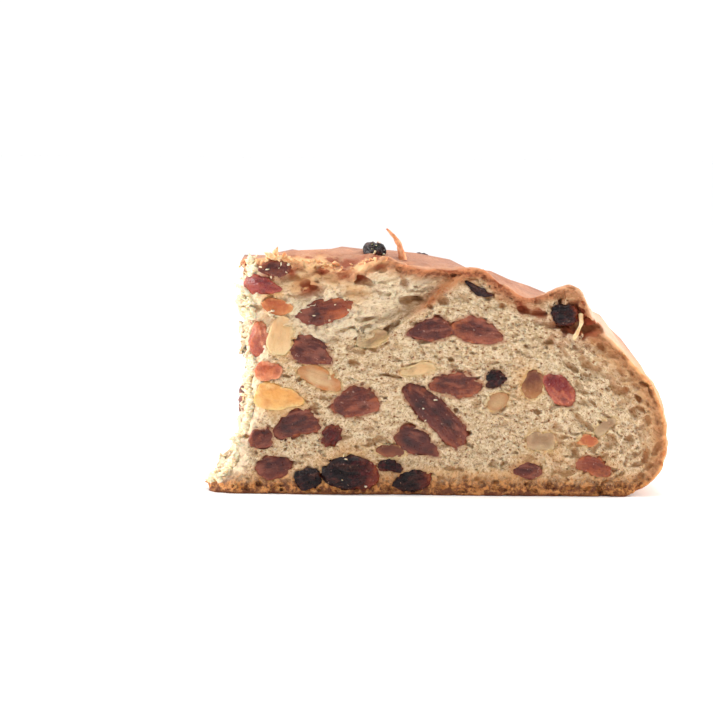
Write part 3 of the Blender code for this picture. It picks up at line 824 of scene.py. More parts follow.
def outward_of(centre):
    """Direction in which a fruit looks out of the bread: the face that it is nearest to."""
    x, y, z = centre
    crust, normal = dome_distance(x, y, z)
    crust = crust - crust_relief(x, y, z)
    front = front_surface(x, z) - y
    torn = (torn_surface(y, z) - x) * math.cos(TORN_SLANT)
    nearest = max(crust, front, torn)
    if nearest == front:
        return FRONT_SIDE
    if nearest == torn:
        return TORN_SIDE
    return np.array(normal)


def fruit_axes(cage, outward):
    """Directions of a fruit's length, its way out of the bread and its width."""
    flat = cage - cage.mean(0)
    flat = flat - np.outer(flat @ outward, outward)
    _, directions = np.linalg.eigh(flat.T @ flat)
    along = directions[:, 2]
    along = along - outward * (along @ outward)
    along /= np.linalg.norm(along) * (1 if along[0] > 0 else -1)
    return np.array((along, outward, np.cross(outward, along)))


def wrinkle(kind, place, offset):
    """How far the skin stands out in millimetres at a place given along the fruit's axes."""
    fold, fold_size, stretch, dent, grain = FRUIT_SKIN[kind]
    along, out, across = place
    folds = noise.noise(Vector((along / stretch, out, across)) / fold_size + offset)
    dents = noise.noise(Vector(place) / 3.4 + offset * 2)
    grains = noise.noise(Vector(place) / 0.8 + offset)
    return fold * (0.35 - abs(folds) * 1.7) + dent * dents + grain * grains


def form_outline(places, half, form):
    """Gives a round fruit pointed ends, a wider right end and an arch, in its own axes."""
    _, _, pointed, wider, arch = form
    share = places[:, 0] / half[0]
    ends = (1 - 0.97 * np.clip(share**2, 0, 1)) ** (0.5 * pointed)
    places[:, 2] *= ends * (1 + wider * share)
    places[:, 2] += arch * half[0] * (0.4 - share**2)


def cut_off(points, kind):
    """Sinks what stands proud of the knife-cut face to nearly its level."""
    x, y, z = points.T
    proud = front_surface(x, z) - y
    kept = CUT_PROUD.get(kind, LEVEL_PROUD)
    points[:, 1] += np.maximum(proud + SUNK, 0) * (1 - kept)


def smooth_cage(piece):
    """Turns the piece's faceted cage into a smooth skin and gives the cage's points."""
    mesh = piece.data
    bm = bmesh.new()
    bm.from_mesh(mesh)
    bmesh.ops.remove_doubles(bm, verts=bm.verts[:], dist=0.01 * MM)
    bmesh.ops.join_triangles(
        bm, faces=bm.faces[:], angle_face_threshold=0.6, angle_shape_threshold=0.8)
    bm.to_mesh(mesh)
    bm.free()
    smooth = piece.modifiers.new("smooth", "SUBSURF")
    smooth.levels = FRUIT_LEVELS
    smooth.render_levels = FRUIT_LEVELS
    cage = points_of(mesh)
    piece.data = applied_mesh(piece)
    piece.modifiers.clear()
    return cage


def make_fruit(name):
    """One fruit: the solid's cage made smooth, filled out to its pocket and wrinkled."""
    kind = kind_of(name)
    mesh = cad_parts[name].data.copy()
    mesh.name = name + "_skin"
    mesh.materials.clear()
    piece = new_piece(name + "_skin", mesh)
    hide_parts(name)
    cage = smooth_cage(piece)
    skin = piece.data
    points = points_of(skin)
    middle = (cage.max(0) + cage.min(0)) / 2
    outward = outward_of(middle)
    growth = (np.ptp(cage, 0) + 2 * FRUIT_FILL) / np.ptp(points, 0)
    points = middle + (points - (points.max(0) + points.min(0)) / 2) * growth
    draw = random.Random(name)
    offset = Vector((draw.uniform(0, 90), draw.uniform(0, 90), draw.uniform(0, 90)))
    axes = fruit_axes(cage, outward)
    places = (points - middle) @ axes.T
    half = np.abs(places).max(0)
    share = places / half
    drawn_form = (draw.uniform(0.05, 0.6), 0, 0.2, 0, draw.uniform(-0.1, 0.1))
    form = FRUIT_FORMS.get(name, drawn_form)
    form_outline(places, half, form)
    if outward is FRONT_SIDE:
        places[:, (0, 2)] *= CUT_GROWTH * FRUIT_SIZES.get(name, 1)
    lift = np.array([wrinkle(kind, place, offset) for place in places])
    places *= 1 + (lift / np.linalg.norm(places, axis=1))[:, None]
    points = middle + places @ axes
    if outward is FRONT_SIDE:
        cut_off(points, kind)
    skin.vertices.foreach_set("co", (points * MM).astype(np.float32).ravel())
    skin.update()
    rise = points[:, 2] - middle[2]
    set_values(skin, "rim", np.hypot(share[:, 0], share[:, 2]))
    set_values(skin, "up", rise / np.abs(rise).max())
    set_values(skin, "fold", lift)
    set_vectors(skin, "lie", places * STREAK_STRETCH + tuple(offset))
    set_values(skin, "tone", np.clip(form[0] + form[1] * share[:, 0], 0, 1.6))
    skin.shade_smooth()
    return piece


def tree_of(mesh):
    """Search tree of a mesh in millimetres."""
    corners = [tuple(point) for point in points_of(mesh)]
    faces = [tuple(face.vertices) for face in mesh.polygons]
    return bvhtree.BVHTree.FromPolygons(corners, faces)


def distances_to(tree, points, reach):
    """Distance of each point outside the tree's closed surface, up to a reach."""
    found = np.full(len(points), reach, np.float32)
    for index, point in enumerate(points):
        place, normal, _, away = tree.find_nearest(point, reach)
        if place is not None:
            outside = (Vector(point) - place).dot(normal) > 0
            found[index] = away if outside else -away
    return found


def take_out_fruit(volume, fruit):
    """Pockets in the volume that the fruit fill."""
    for piece in fruit:
        tree = tree_of(piece.data)
        corners = points_of(piece.data)
        low, high = corners.min(0), corners.max(0)
        slices, places = volume.part(low - (0.6, 1.8, 0.6), high + 0.6)
        block = np.stack([axis.ravel() for axis in np.broadcast_arrays(*places)], 1)
        away = distances_to(tree, block, 9.0).reshape(volume.field[slices].shape)
        fine, medium = (volume.tile(tile, slices) for tile in (volume.fine, volume.medium))
        ragged = np.maximum(0.55 * fine + 0.75 * medium, -POCKET_OVERLAP)
        pocket = -(away + POCKET_OVERLAP + ragged)
        if outward_of((low + high) / 2) is FRONT_SIDE:
            for _ in range(OPEN_CELLS):
                away[:, :-1] = np.minimum(away[:, :-1], away[:, 1:])
            pocket = np.maximum(pocket, -(away + OPEN_INSET + ragged))
        volume.field[slices] = np.maximum(volume.field[slices], pocket)


# ---------------------------------------------------------------- bread

# Middle of the turn that the crumb's layers follow, and how far out they lie
FLOW_CENTRE = (-5.0, -50.0)
FLOW_RADIUS = 95.0

# How strongly dark fruit stain the crumb round them, and how far round any fruit that reaches
STAINING = {"raisin": 1.0, "currant": 0.8, "candied_cherry": 0.7}
HALO_REACH = 3.0

# Rounds after which the search for connected parts stops at the latest
MOST_ROUNDS = 400


def fruit_halo(points, fruit):
    """How near each point of the bread is to a dark fruit and to a pale one, 1 touching."""
    dark = np.zeros(len(points), np.float32)
    pale = np.zeros(len(points), np.float32)
    for piece in fruit:
        corners = points_of(piece.data)
        low, high = corners.min(0) - HALO_REACH, corners.max(0) + HALO_REACH
        near = np.flatnonzero(((points > low) & (points < high)).all(1))
        tree = kdtree.KDTree(len(corners))
        for index, corner in enumerate(corners):
            tree.insert(corner, index)
        tree.balance()
        away = np.array([tree.find(points[index])[2] for index in near])
        closeness = np.exp(-np.maximum(away - 0.15, 0) / 0.8)
        stain = STAINING.get(kind_of(piece.name), 0)
        halo = dark if stain else pale
        halo[near] = np.maximum(halo[near], closeness * (stain or 1))
    return dark, pale


def thin_out(piece, points, quads):
    """Thins the bread's mesh, least near the knife-cut face."""
    group = piece.vertex_groups.new(name="thin")
    plain = points[:, 1] > FRONT_Y + KEEP_DEPTH
    group.add(np.flatnonzero(plain).tolist(), 1.0, "REPLACE")
    group.add(np.flatnonzero(~plain).tolist(), KEEP_SHARE, "REPLACE")
    thin = piece.modifiers.new("thin", "DECIMATE")
    thin.ratio = min(MOST_TRIANGLES / (2 * len(quads)), 1.0)
    thin.vertex_group = "thin"
    mesh = applied_mesh(piece)
    piece.modifiers.clear()
    piece.vertex_groups.clear()
    piece.data = mesh
    mesh.name = "bread_loaf"


def warmth(spots, x, z):
    """Strength of the strongest of the spots at points of the knife-cut face."""
    warm = np.zeros(len(x))
    for spot_x, spot_z, half_x, half_z, strength in spots:
        squares = ((x - spot_x) / half_x) ** 2 + ((z - spot_z) / half_z) ** 2
        warm = np.maximum(warm, strength * np.exp(-(squares**1.5)))
    return warm


def mark_places(mesh, points):
    """Writes where each point of the bread lies: its depth and the parts that it belongs to."""
    x, y, z = points.T
    set_values(mesh, "crust_depth", -crust_distance(x, y, z))
    right, up = x - FLOW_CENTRE[0], z - FLOW_CENTRE[1]
    turn = np.arctan2(up, right) * FLOW_RADIUS
    set_vectors(mesh, "flow", np.stack((turn, y, np.hypot(right, up)), 1))
    front = front_surface(x, z) - y
    torn = (torn_surface(y, z) - x) * math.cos(TORN_SLANT)
    set_values(mesh, "cut_depth", -np.maximum(front, torn))
    set_values(mesh, "torn", smooth_step(-6, 1, torn))
    near_front = smooth_step(-9, -3, front)
    set_values(mesh, "amber", warmth(AMBER_SPOTS, x, z) * near_front)
    set_values(mesh, "ember", warmth(EMBER_SPOTS, x, z) * near_front)
    # Painted glow: the crust along the knife-cut rim is painted paler, most at the left and the
    # right, where light comes from behind
    glow = 0.4 + 0.3 * smooth_step(5, -25, x) + 0.4 * smooth_step(30, 55, x)
    set_values(mesh, "rim_glow", glow * smooth_step(-3.5, -0.3, front))
    # Patches of painted highlight and painted shade on the crust's rim by the torn face
    flap = smooth_step(-10, -20, x) * near_front * smooth_step(50, 58, z)
    set_values(mesh, "flap", flap)
    # Painted light on the rounded corner between the knife-cut and the torn face
    set_values(mesh, "corner", smooth_step(-8, -1, torn) * smooth_step(-6, -2, front))
    behind = y - FRONT_Y
    set_values(mesh, "backlit", smooth_step(22, 52, x) * (1 - smooth_step(8, 26, behind)))
    # Painted light: the crust is painted paler the nearer it lies to the knife-cut face
    set_values(mesh, "near_cut", 1 - smooth_step(6, 44, behind))


def mark_fold(mesh, points):
    """Writes what the fold changes: its brown line, the painted shade of its recess and the torn
    layers above it.
    """
    x, y, z = points.T
    front = front_surface(x, z) - y
    away, way = fold_distance(x, z)
    browned = np.exp(-((away / (2.4 - 2.6 * way)) ** 2)) * (1 - smooth_step(0.35, 0.62, way))
    set_values(mesh, "fold", browned * smooth_step(-6, -1, front))
    # Painted shade in the recess above the fold line
    shade = smooth_step(0.2, 1.4, away) * (1 - smooth_step(2.2, 5.5, away))
    shade = shade * smooth_step(0.12, 0.3, way) * (1 - smooth_step(0.6, 0.85, way))
    set_values(mesh, "tear", shade)
    layered = smooth_step(1, 5, away) * (1 - smooth_step(20, 32, away))
    set_values(mesh, "layered", layered * smooth_step(-4, -1, front))


def make_bread(fruit):
    """The bread as one closed mesh that remembers how deep each point lies."""
    volume = Volume()
    volume.roughen()
    add_front_pores(volume)
    add_torn_pores(volume)
    add_front_holes(volume)
    take_out_fruit(volume, fruit)
    points, quads = surface_net(volume.field, (volume.xs, volume.ys, volume.zs))
    points, quads = largest_part(points, quads)
    piece = new_piece("bread_loaf", mesh_from_arrays("bread_net", points, quads))
    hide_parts("bread")
    thin_out(piece, points, quads)
    mesh = piece.data
    points = points_of(mesh)
    mark_places(mesh, points)
    mark_fold(mesh, points)
    dark, pale = fruit_halo(points, fruit)
    set_values(mesh, "dark_halo", dark)
    set_values(mesh, "pale_halo", pale)
    mesh.shade_smooth()
    mesh.materials.clear()
    mesh.materials.append(bread_material())
    return piece


def largest_part(points, quads):
    """Drops loose scraps: only the largest connected part stays."""
    label = np.arange(len(points))
    for _ in range(MOST_ROUNDS):
        lowest = label[quads].min(1)
        before = label.copy()
        for side in range(4):
            np.minimum.at(label, quads[:, side], lowest)
        label = label[label]
        if (label == before).all():
            break
    names, counts = np.unique(label, return_counts=True)
    kept = label == names[counts.argmax()]
    renumber = np.cumsum(kept) - 1
    return points[kept], renumber[quads[kept[quads[:, 0]]]]


# ---------------------------------------------------------------- curl, strand and flakes


def make_thread(name, points, seed):
    """A tapering thread through points, with an uneven skin."""
    curve = bpy.data.curves.new(name, "CURVE")
    curve.dimensions = "3D"
    curve.bevel_depth = MM
    curve.bevel_resolution = 3
    curve.use_fill_caps = True
    curve.resolution_u = 10
    spline = curve.splines.new("NURBS")
    spline.points.add(len(points) - 1)
    for point, (x, y, height, radius) in zip(spline.points, points):
        point.co = (x * MM, y * MM, height * MM, 1)
        point.radius = radius
    spline.use_endpoint_u = True
    spline.order_u = 3
    thread = bpy.data.objects.new(name + "_curve", curve)
    mesh = bpy.data.meshes.new_from_object(thread)
    bpy.data.objects.remove(thread)
    offset = Vector((seed, 3, 5))
    noise.seed_set(seed)
    for vertex in mesh.vertices:
        bend = noise.noise_vector(vertex.co / (THREAD_BUMPS * MM) + offset)
        vertex.co += bend * THREAD_BEND * MM
    mesh.name = name
    mesh.shade_smooth()
    return new_piece(name, mesh)


def add_chip(bm, place, normal, size, draw, ragged=0.7):
    """One small ragged chip that sticks out of a surface."""
    made = bmesh.ops.create_icosphere(bm, subdivisions=1, radius=1)
    tilt = Vector((draw.gauss(0, 1), draw.gauss(0, 1), draw.gauss(0, 1))) * 0.7
    turn = (normal + tilt).to_track_quat("Z", "Y")
    half = Vector((draw.uniform(0.5, 1.1), draw.uniform(0.2, 0.5), draw.uniform(0.7, 1.7)))
    offset = Vector((draw.uniform(0, 90), draw.uniform(0, 90), draw.uniform(0, 90)))
    for vertex in made["verts"]:
        shape = vertex.co * (1 + ragged * noise.noise(vertex.co * 1.3 + offset))
        shape = Vector([axis * length * size for axis, length in zip(shape, half)])
        vertex.co = place + turn @ shape * MM


def make_flakes(bread, fruit):
    """Ragged crumbs on the torn face, most of them along its front edge, and on some fruit."""
    draw = random.Random(FLAKE_SEED)
    mesh = bread.data
    points = points_of(mesh)
    normals = normals_of(mesh)
    open_side = (values_of(mesh, "torn") > 0.75) & (normals[:, 0] < -0.2) & (points[:, 2] > 3)
    weights = np.exp(-np.maximum(points[:, 1] - FRONT_Y - 4, 0) / 14) + 0.05
    chosen = np.flatnonzero(open_side)
    picks = draw.choices(chosen.tolist(), weights[chosen].tolist(), k=FLAKES)
    bm = bmesh.new()
    for index in picks:
        size = FLAKE_SIZE * math.exp(draw.gauss(0, 0.4))
        size *= LARGE_FLAKE if points[index][1] < FRONT_Y + LARGE_FLAKE_DEPTH else 1
        place = Vector(points[index]) * MM
        add_chip(bm, place, Vector(normals[index]), size, draw)
    for piece in fruit:
        count = FLECKED_FRUIT.get(piece.name.removesuffix("_skin"), 0)
        spots = [v for v in piece.data.vertices if v.normal.y < -0.45 or v.normal.z > 0.8]
        for vertex in draw.sample(spots, count):
            add_chip(bm, vertex.co, vertex.normal, draw.uniform(*FLECK_SIZES), draw)
    make_chips("crumb_flakes", bm, "crumb_flake")


def make_chips(name, bm, look):
    """A piece of the chips drawn, with its material."""
    mesh = bpy.data.meshes.new(name)
    bm.to_mesh(mesh)
    bm.free()
    mesh.shade_smooth()
    new_piece(name, mesh)
    mesh.materials.append(scrap_material(look))


def make_shards(bread):
    """Small torn shards of crust that stand up along the rim near the torn face."""
    draw = random.Random(FLAKE_SEED + 1)
    mesh = bread.data
    points = points_of(mesh)
    x, y, _ = points.T
    depth = values_of(mesh, "crust_depth")
    low, high = SHARD_RANGE
    rim = (np.abs(depth) < 0.6) & (y < FRONT_Y + 3.0) & (x > low) & (x < high)
    chosen = np.flatnonzero(rim)
    nearness = np.exp(-(x[chosen] - low) / 18)
    bm = bmesh.new()
    for index in draw.choices(chosen.tolist(), nearness.tolist(), k=SHARDS):
        outward = Vector((draw.uniform(-0.6, 0.3), draw.uniform(-1.0, -0.2), 0.3))
        size = SHARD_SIZE * math.exp(draw.gauss(0, 0.4))
        size *= LARGE_SHARD if x[index] < LARGE_SHARDS_X else 1
        add_chip(bm, Vector(points[index]) * MM, outward, size, draw, 0.4)
    make_chips("crust_shards", bm, "crust_shards")


# ---------------------------------------------------------------- materials


RANGE_SOCKETS = ("From Min", "From Max", "To Min", "To Max")


class Nodes:
    """Short ways to build a material's node tree."""

    def __init__(self, name):
        self.material = bpy.data.materials.new(name)
        self.material.use_nodes = True
        self.tree = self.material.node_tree
        self.shader = self.tree.nodes["Principled BSDF"]

    def link(self, source, target):
        self.tree.links.new(source, target)

    def drive(self, name, source):
        """Feeds one of the shader's sockets."""
        self.link(source, self.shader.inputs[name])

    def add(self, kind, **settings):
        node = self.tree.nodes.new(kind)
        for key, value in settings.items():
            setattr(node, key, value)
        return node

    def place(self):
        return self.add("ShaderNodeTexCoord").outputs["Object"]

    def value(self, name, output="Fac"):
        return self.add("ShaderNodeAttribute", attribute_name=name).outputs[output]

    def noise(self, scale, detail=3.0, rough=0.55, vector=None):
        node = self.add("ShaderNodeTexNoise")
        node.inputs["Scale"].default_value = scale
        node.inputs["Detail"].default_value = detail
        node.inputs["Roughness"].default_value = rough
        self.link(vector or self.place(), node.inputs["Vector"])
        return node.outputs["Fac"]

    def height(self):
        """Height over the floor in metres."""
        node = self.add("ShaderNodeSeparateXYZ")
        self.link(self.place(), node.inputs[0])
        return node.outputs["Z"]

    def upper(self):
        """1 in the upper half of the bread."""
        return self.range(self.height(), 0.036, 0.052)

    def flap(self):
        """The rim of crust by the torn face, in patches, where highlights and shade are painted.
        """
        return self.times(self.value("flap"), self.range(self.noise(150, 4), 0.36, 0.55))

    def stretched(self, vector, stretch):
        node = self.add("ShaderNodeMapping")
        node.inputs["Scale"].default_value = stretch
        self.link(vector, node.inputs["Vector"])
        return node.outputs["Vector"]

    def cells(self, scale, vector):
        """Distance from the middle of the nearest cell, 0 in the middle."""
        node = self.add("ShaderNodeTexVoronoi")
        node.inputs["Scale"].default_value = scale
        self.link(vector, node.inputs["Vector"])
        return node.outputs["Distance"]

    def math(self, operation, first, second):
        node = self.add("ShaderNodeMath", operation=operation)
        self.fill(node.inputs[0], first)
        self.fill(node.inputs[1], second)
        return node.outputs[0]

    def plus(self, first, second):
        return self.math("ADD", first, second)

    def times(self, first, second):
        return self.math("MULTIPLY", first, second)

    def range(self, value, low, high, start=0.0, end=1.0):
        """Smooth step from start at low to end at high."""
        node = self.add("ShaderNodeMapRange", interpolation_type="SMOOTHSTEP")
        self.link(value, node.inputs["Value"])
        for key, number in zip(RANGE_SOCKETS, (low, high, start, end)):
            node.inputs[key].default_value = number
        return node.outputs["Result"]

    def mix(self, share, first, second):
        """From the first colour to the second, each a socket, an sRGB colour or its name."""
        node = self.add("ShaderNodeMix", data_type="RGBA")
        self.fill(node.inputs["Factor"], share)
        self.fill(node.inputs["A"], first)
        self.fill(node.inputs["B"], second)
        return node.outputs["Result"]

    def fill(self, socket, entry):
        if isinstance(entry, str):
            entry = BREAD_COLOURS[entry]
        if isinstance(entry, (int, float)):
            socket.default_value = entry
        elif isinstance(entry, tuple):
            socket.default_value = (*linear(*entry), 1)
        else:
            self.link(entry, socket)

    def bump(self, height, distance, strength=1.0):
        node = self.add("ShaderNodeBump")
        node.inputs["Distance"].default_value = distance * MM
        node.inputs["Strength"].default_value = strength
        self.link(height, node.inputs["Height"])
        self.drive("Normal", node.outputs["Normal"])

    def set(self, **values):
        for key, value in values.items():
            self.shader.inputs[key.replace("_", " ")].default_value = value


def linear(red, green, blue):
    """Linear colour of an sRGB colour given as 0 to 255."""
    return tuple(((part / 255 + 0.055) / 1.055) ** 2.4 for part in (red, green, blue))


# Colours of the bread as sRGB: of the crumb, of what stains it, of the crust's cut edge and of
# the crust, and the painted light and shade on them. Names with lit are painted light for the
# right side, which light shines through
BREAD_COLOURS = {
    "crumb": (202, 172, 133),
    "crumb_warm": (208, 174, 133),
    "crumb_highlight": (240, 218, 184),
    "crumb_shaded": (188, 150, 110),
    "pore": (144, 88, 50),
    "inside": (202, 152, 104),
    "inside_by_crust": (194, 116, 68),
    "dark_stain": (176, 118, 88),
    "pale_stain": (226, 180, 116),
    "tear": (160, 112, 78),
    "fold": (192, 118, 72),
    "layers": (242, 222, 190),
    "amber": (222, 164, 100),
    "torn": (244, 220, 188),
    "corner": (255, 238, 208),
    "below_crust": (202, 150, 102),
    "backlit_below_crust": (206, 150, 98),
    "browned_dark": (130, 66, 42),
    "browned_light": (196, 124, 82),
    "edge_dark": (164, 88, 56),
    "edge_light": (228, 156, 108),
    "lit_edge": (246, 180, 118),
    "lit_edge_upper": (252, 206, 160),
    "torn_rim_highlight": (246, 198, 148),
    "ember": (164, 72, 42),
    "crust_dark": (144, 80, 54),
    "crust_light": (194, 128, 90),
    "crust_bright_spot": (220, 164, 120),
    "crust_dark_spot": (130, 70, 50),
    "crust_speck": (128, 74, 52),
    "crust_lit_by_cut": (224, 176, 146),
    "crust_rim_glow": (236, 178, 136),
    "flap": (244, 196, 148),
    "flap_shade": (158, 74, 46),
    "lit_crust": (236, 168, 116),
    "lit_crust_upper": (244, 206, 178),
    "base_dark": (112, 57, 31),
    "base_light": (222, 152, 88),
    "sole": (110, 58, 36),
}


def crumb_colour(nodes, band, noises):
    """Colour inside the crust: crumb with pores, stained by fruit, fold and baking, with painted
    light and shade.
    """
    broad, medium, grain, speck, small, tiny, spots = noises
    crust_depth, cut_depth = nodes.value("crust_depth"), nodes.value("cut_depth")
    crumb = nodes.mix(nodes.range(broad, 0.36, 0.64), "crumb", "crumb_warm")
    # Painted highlights on the crumb's walls, in a fine pattern
    crumb = nodes.mix(nodes.range(grain, 0.4, 0.62), crumb, "crumb_highlight")
    crumb = nodes.mix(nodes.range(medium, 0.5, 0.72, 0.0, 0.2), crumb, "crumb_shaded")
    # Painted shade: dark dots stand for the shade in pores too small for the mesh
    dots = nodes.times(nodes.range(small, 0.2, 0.36, 0.95, 0.0), nodes.range(grain, 0.56, 0.44))
    crumb = nodes.mix(dots, crumb, "pore")
    crumb = nodes.mix(nodes.range(tiny, 0.16, 0.32, 0.75, 0.0), crumb, "pore")

    # Painted shade: crumb set back from the face is painted darker and browner the deeper it lies;
    # near the crust it is redder, partly browned crumb and partly a painted glow of light through
    # the crust
    near_crust = nodes.range(crust_depth, 2.0, 13.0, 1.0, 0.0)
    inside = nodes.mix(near_crust, "inside", "inside_by_crust")
    hollow = nodes.plus(cut_depth, nodes.times(speck, 0.5))
    crumb = nodes.mix(nodes.range(hollow, 0.8, 2.6, 0.0, 0.7), crumb, inside)

    dark_halo = nodes.range(nodes.value("dark_halo"), 0.25, 1.0, 0.0, 0.75)
    crumb = nodes.mix(dark_halo, crumb, "dark_stain")
    pale_halo = nodes.range(nodes.value("pale_halo"), 0.2, 1.0, 0.0, 0.5)
    crumb = nodes.mix(pale_halo, crumb, "pale_stain")
    # Painted shade in the recess above the fold
    crumb = nodes.mix(nodes.times(nodes.value("tear"), 0.35), crumb, "tear")
    fold = nodes.times(nodes.value("fold"), nodes.range(grain, 0.3, 0.55, 0.35, 1.0))
    crumb = nodes.mix(fold, crumb, "fold")
    layers = nodes.times(nodes.value("layered"), nodes.range(grain, 0.3, 0.55, 0.2, 0.75))
    crumb = nodes.mix(layers, crumb, "layers")
    # Amber crumb, at the left edge partly a painted glow of light through the thin edge
    amber = nodes.times(nodes.value("amber"), nodes.range(broad, 0.3, 0.6, 0.4, 0.95))
    crumb = nodes.mix(amber, crumb, "amber")
    crumb = nodes.mix(nodes.range(nodes.value("torn"), 0.2, 1.0, 0.0, 0.55), crumb, "torn")
    # Painted light on the rounded corner by the torn face
    crumb = nodes.mix(nodes.times(nodes.value("corner"), 0.75), crumb, "corner")

    crumb = nodes.mix(nodes.range(band, 2.5, 6.5, 0.6, 0.0), crumb, "below_crust")
    backlit = nodes.value("backlit")
    # Right side, which light shines through: the crumb below the crust is painted browner and
    # warmer, partly browned crumb and partly a painted glow of light through the crust
    backlit_below_crust = nodes.times(nodes.range(band, 2.5, 11.0, 0.55, 0.0), backlit)
    crumb = nodes.mix(backlit_below_crust, crumb, "backlit_below_crust")
    browned = nodes.mix(nodes.range(grain, 0.36, 0.62), "browned_dark", "browned_light")
    shown = nodes.range(backlit, 0.0, 1.0, 1.0, 0.45)
    shown = nodes.times(shown, nodes.range(band, 1.8, 4.8, 0.95, 0.0))
    crumb = nodes.mix(shown, crumb, browned)
    edge = nodes.mix(nodes.range(spots, 0.4, 0.58), "edge_dark", "edge_light")
    lit_edge = nodes.mix(nodes.upper(), "lit_edge", "lit_edge_upper")
    edge = nodes.mix(backlit, edge, lit_edge)
    crumb = nodes.mix(nodes.range(crust_depth, 0.6, 1.7, 0.85, 0.0), crumb, edge)

    # Painted highlights in patches on the crumb under the rim by the torn face
    torn_rim_highlight = nodes.times(nodes.flap(), nodes.range(band, 1.5, 6.0, 0.95, 0.0))
    crumb = nodes.mix(torn_rim_highlight, crumb, "torn_rim_highlight")
    # Painted glow of light through the thin crust on the red walls of the recesses under it
    ember = nodes.times(nodes.value("ember"), nodes.range(cut_depth, 0.3, 1.3, 0.4, 1.0))
    return nodes.mix(ember, crumb, "ember")


def crust_colour(nodes, speck, spots):
    """Colour of the crust: browned in patches, with painted light that makes it paler by the cuts
    and where light comes through, and painted highlights and shade by the torn face.
    """
    patches = nodes.noise(42, 5, 0.6)
    skin = nodes.mix(nodes.range(patches, 0.34, 0.66), "crust_dark", "crust_light")
    skin = nodes.mix(nodes.range(spots, 0.5, 0.74, 0.0, 0.4), skin, "crust_bright_spot")
    skin = nodes.mix(nodes.range(spots, 0.48, 0.28, 0.0, 0.4), skin, "crust_dark_spot")
    skin = nodes.mix(nodes.range(speck, 0.5, 0.75, 0.0, 0.3), skin, "crust_speck")
    # Painted light: paler crust towards the knife-cut face
    skin = nodes.mix(nodes.times(nodes.value("near_cut"), 0.25), skin, "crust_lit_by_cut")
    # Painted glow along the knife-cut rim
    skin = nodes.mix(nodes.value("rim_glow"), skin, "crust_rim_glow")
    # Painted highlights and painted shade of recesses, in patches on the rim by the torn face
    skin = nodes.mix(nodes.times(nodes.flap(), 0.3), skin, "flap")
    flap_shade = nodes.times(nodes.value("flap"), nodes.range(spots, 0.46, 0.58, 0.1, 0.9))
    skin = nodes.mix(flap_shade, skin, "flap_shade")
    lit = nodes.mix(nodes.upper(), "lit_crust", "lit_crust_upper")
    return nodes.mix(nodes.times(nodes.value("backlit"), 0.6), skin, lit)


def bread_material():
    nodes = Nodes("bread")
    flow = nodes.value("flow", "Vector")
    streaks = nodes.stretched(flow, (0.62, 1, 1))
    broad = nodes.noise(85, 3)
    medium = nodes.noise(330, 3, 0.55, streaks)
    grain = nodes.noise(1050, 4, 0.7, nodes.stretched(flow, (0.75, 1, 1)))
    speck = nodes.noise(2300, 3, 0.7)
    small = nodes.cells(980, streaks)
    tiny = nodes.cells(1900, nodes.stretched(flow, (0.7, 1, 1)))
    spots = nodes.noise(260, 4, 0.6)
    wobble = nodes.times(nodes.math("SUBTRACT", medium, 0.5), 5.0)
    band = nodes.plus(nodes.value("crust_depth"), wobble)
    crumb = crumb_colour(nodes, band, (broad, medium, grain, speck, small, tiny, spots))
    on_skin = nodes.range(nodes.value("crust_depth"), 0.15, 0.6, 1.0, 0.0)
    surface = nodes.mix(on_skin, crumb, crust_colour(nodes, speck, spots))

    foot = nodes.plus(nodes.height(), nodes.times(wobble, -0.00055))
    base = nodes.mix(nodes.range(nodes.noise(520, 4, 0.7), 0.4, 0.6), "base_dark", "base_light")
    surface = nodes.mix(nodes.range(foot, 0.002, 0.0075, 0.95, 0.0), surface, base)
    surface = nodes.mix(nodes.range(foot, 0.0002, 0.0014, 0.8, 0.0), surface, "sole")
    nodes.drive("Base Color", surface)
    nodes.drive("Roughness", nodes.range(on_skin, 0, 1, 0.88, 0.5))
    relief = nodes.plus(grain, nodes.times(speck, 0.5))
    relief = nodes.plus(relief, nodes.range(small, 0.1, 0.4, -0.45, 0.0))
    relief = nodes.plus(relief, nodes.range(tiny, 0.1, 0.34, -0.2, 0.0))
    nodes.bump(relief, 0.62, 1.0)
    nodes.set(Subsurface_Weight=0.42, Subsurface_Scale=0.0014, Specular_IOR_Level=0.3)
    nodes.set(Subsurface_Radius=(1.0, 0.62, 0.38))
    return nodes.material


# Scraps of crumb and crust: darkest and lightest colour, scale of the grain and roughness
SCRAP_LOOKS = {
    "crust_curl": ((206, 130, 88), (232, 170, 126), 700, 0.7),
    "crumb_strand": ((222, 182, 132), (244, 216, 172), 700, 0.7),
    "crust_shards": ((216, 144, 94), (248, 206, 156), 700, 0.7),
    "crumb_flake": ((238, 208, 164), (252, 238, 212), 1400, 0.85),
}


def scrap_material(name):
    dark, light, scale, rough = SCRAP_LOOKS[name]
    nodes = Nodes(name)
    grain = nodes.noise(scale, 3)
    nodes.drive("Base Color", nodes.mix(nodes.range(grain, 0.35, 0.65), dark, light))
    nodes.bump(grain, 0.2, 0.7)
    nodes.set(Roughness=rough, Specular_IOR_Level=0.2)
    nodes.set(Subsurface_Weight=0.3, Subsurface_Scale=0.0012)
    return nodes.material


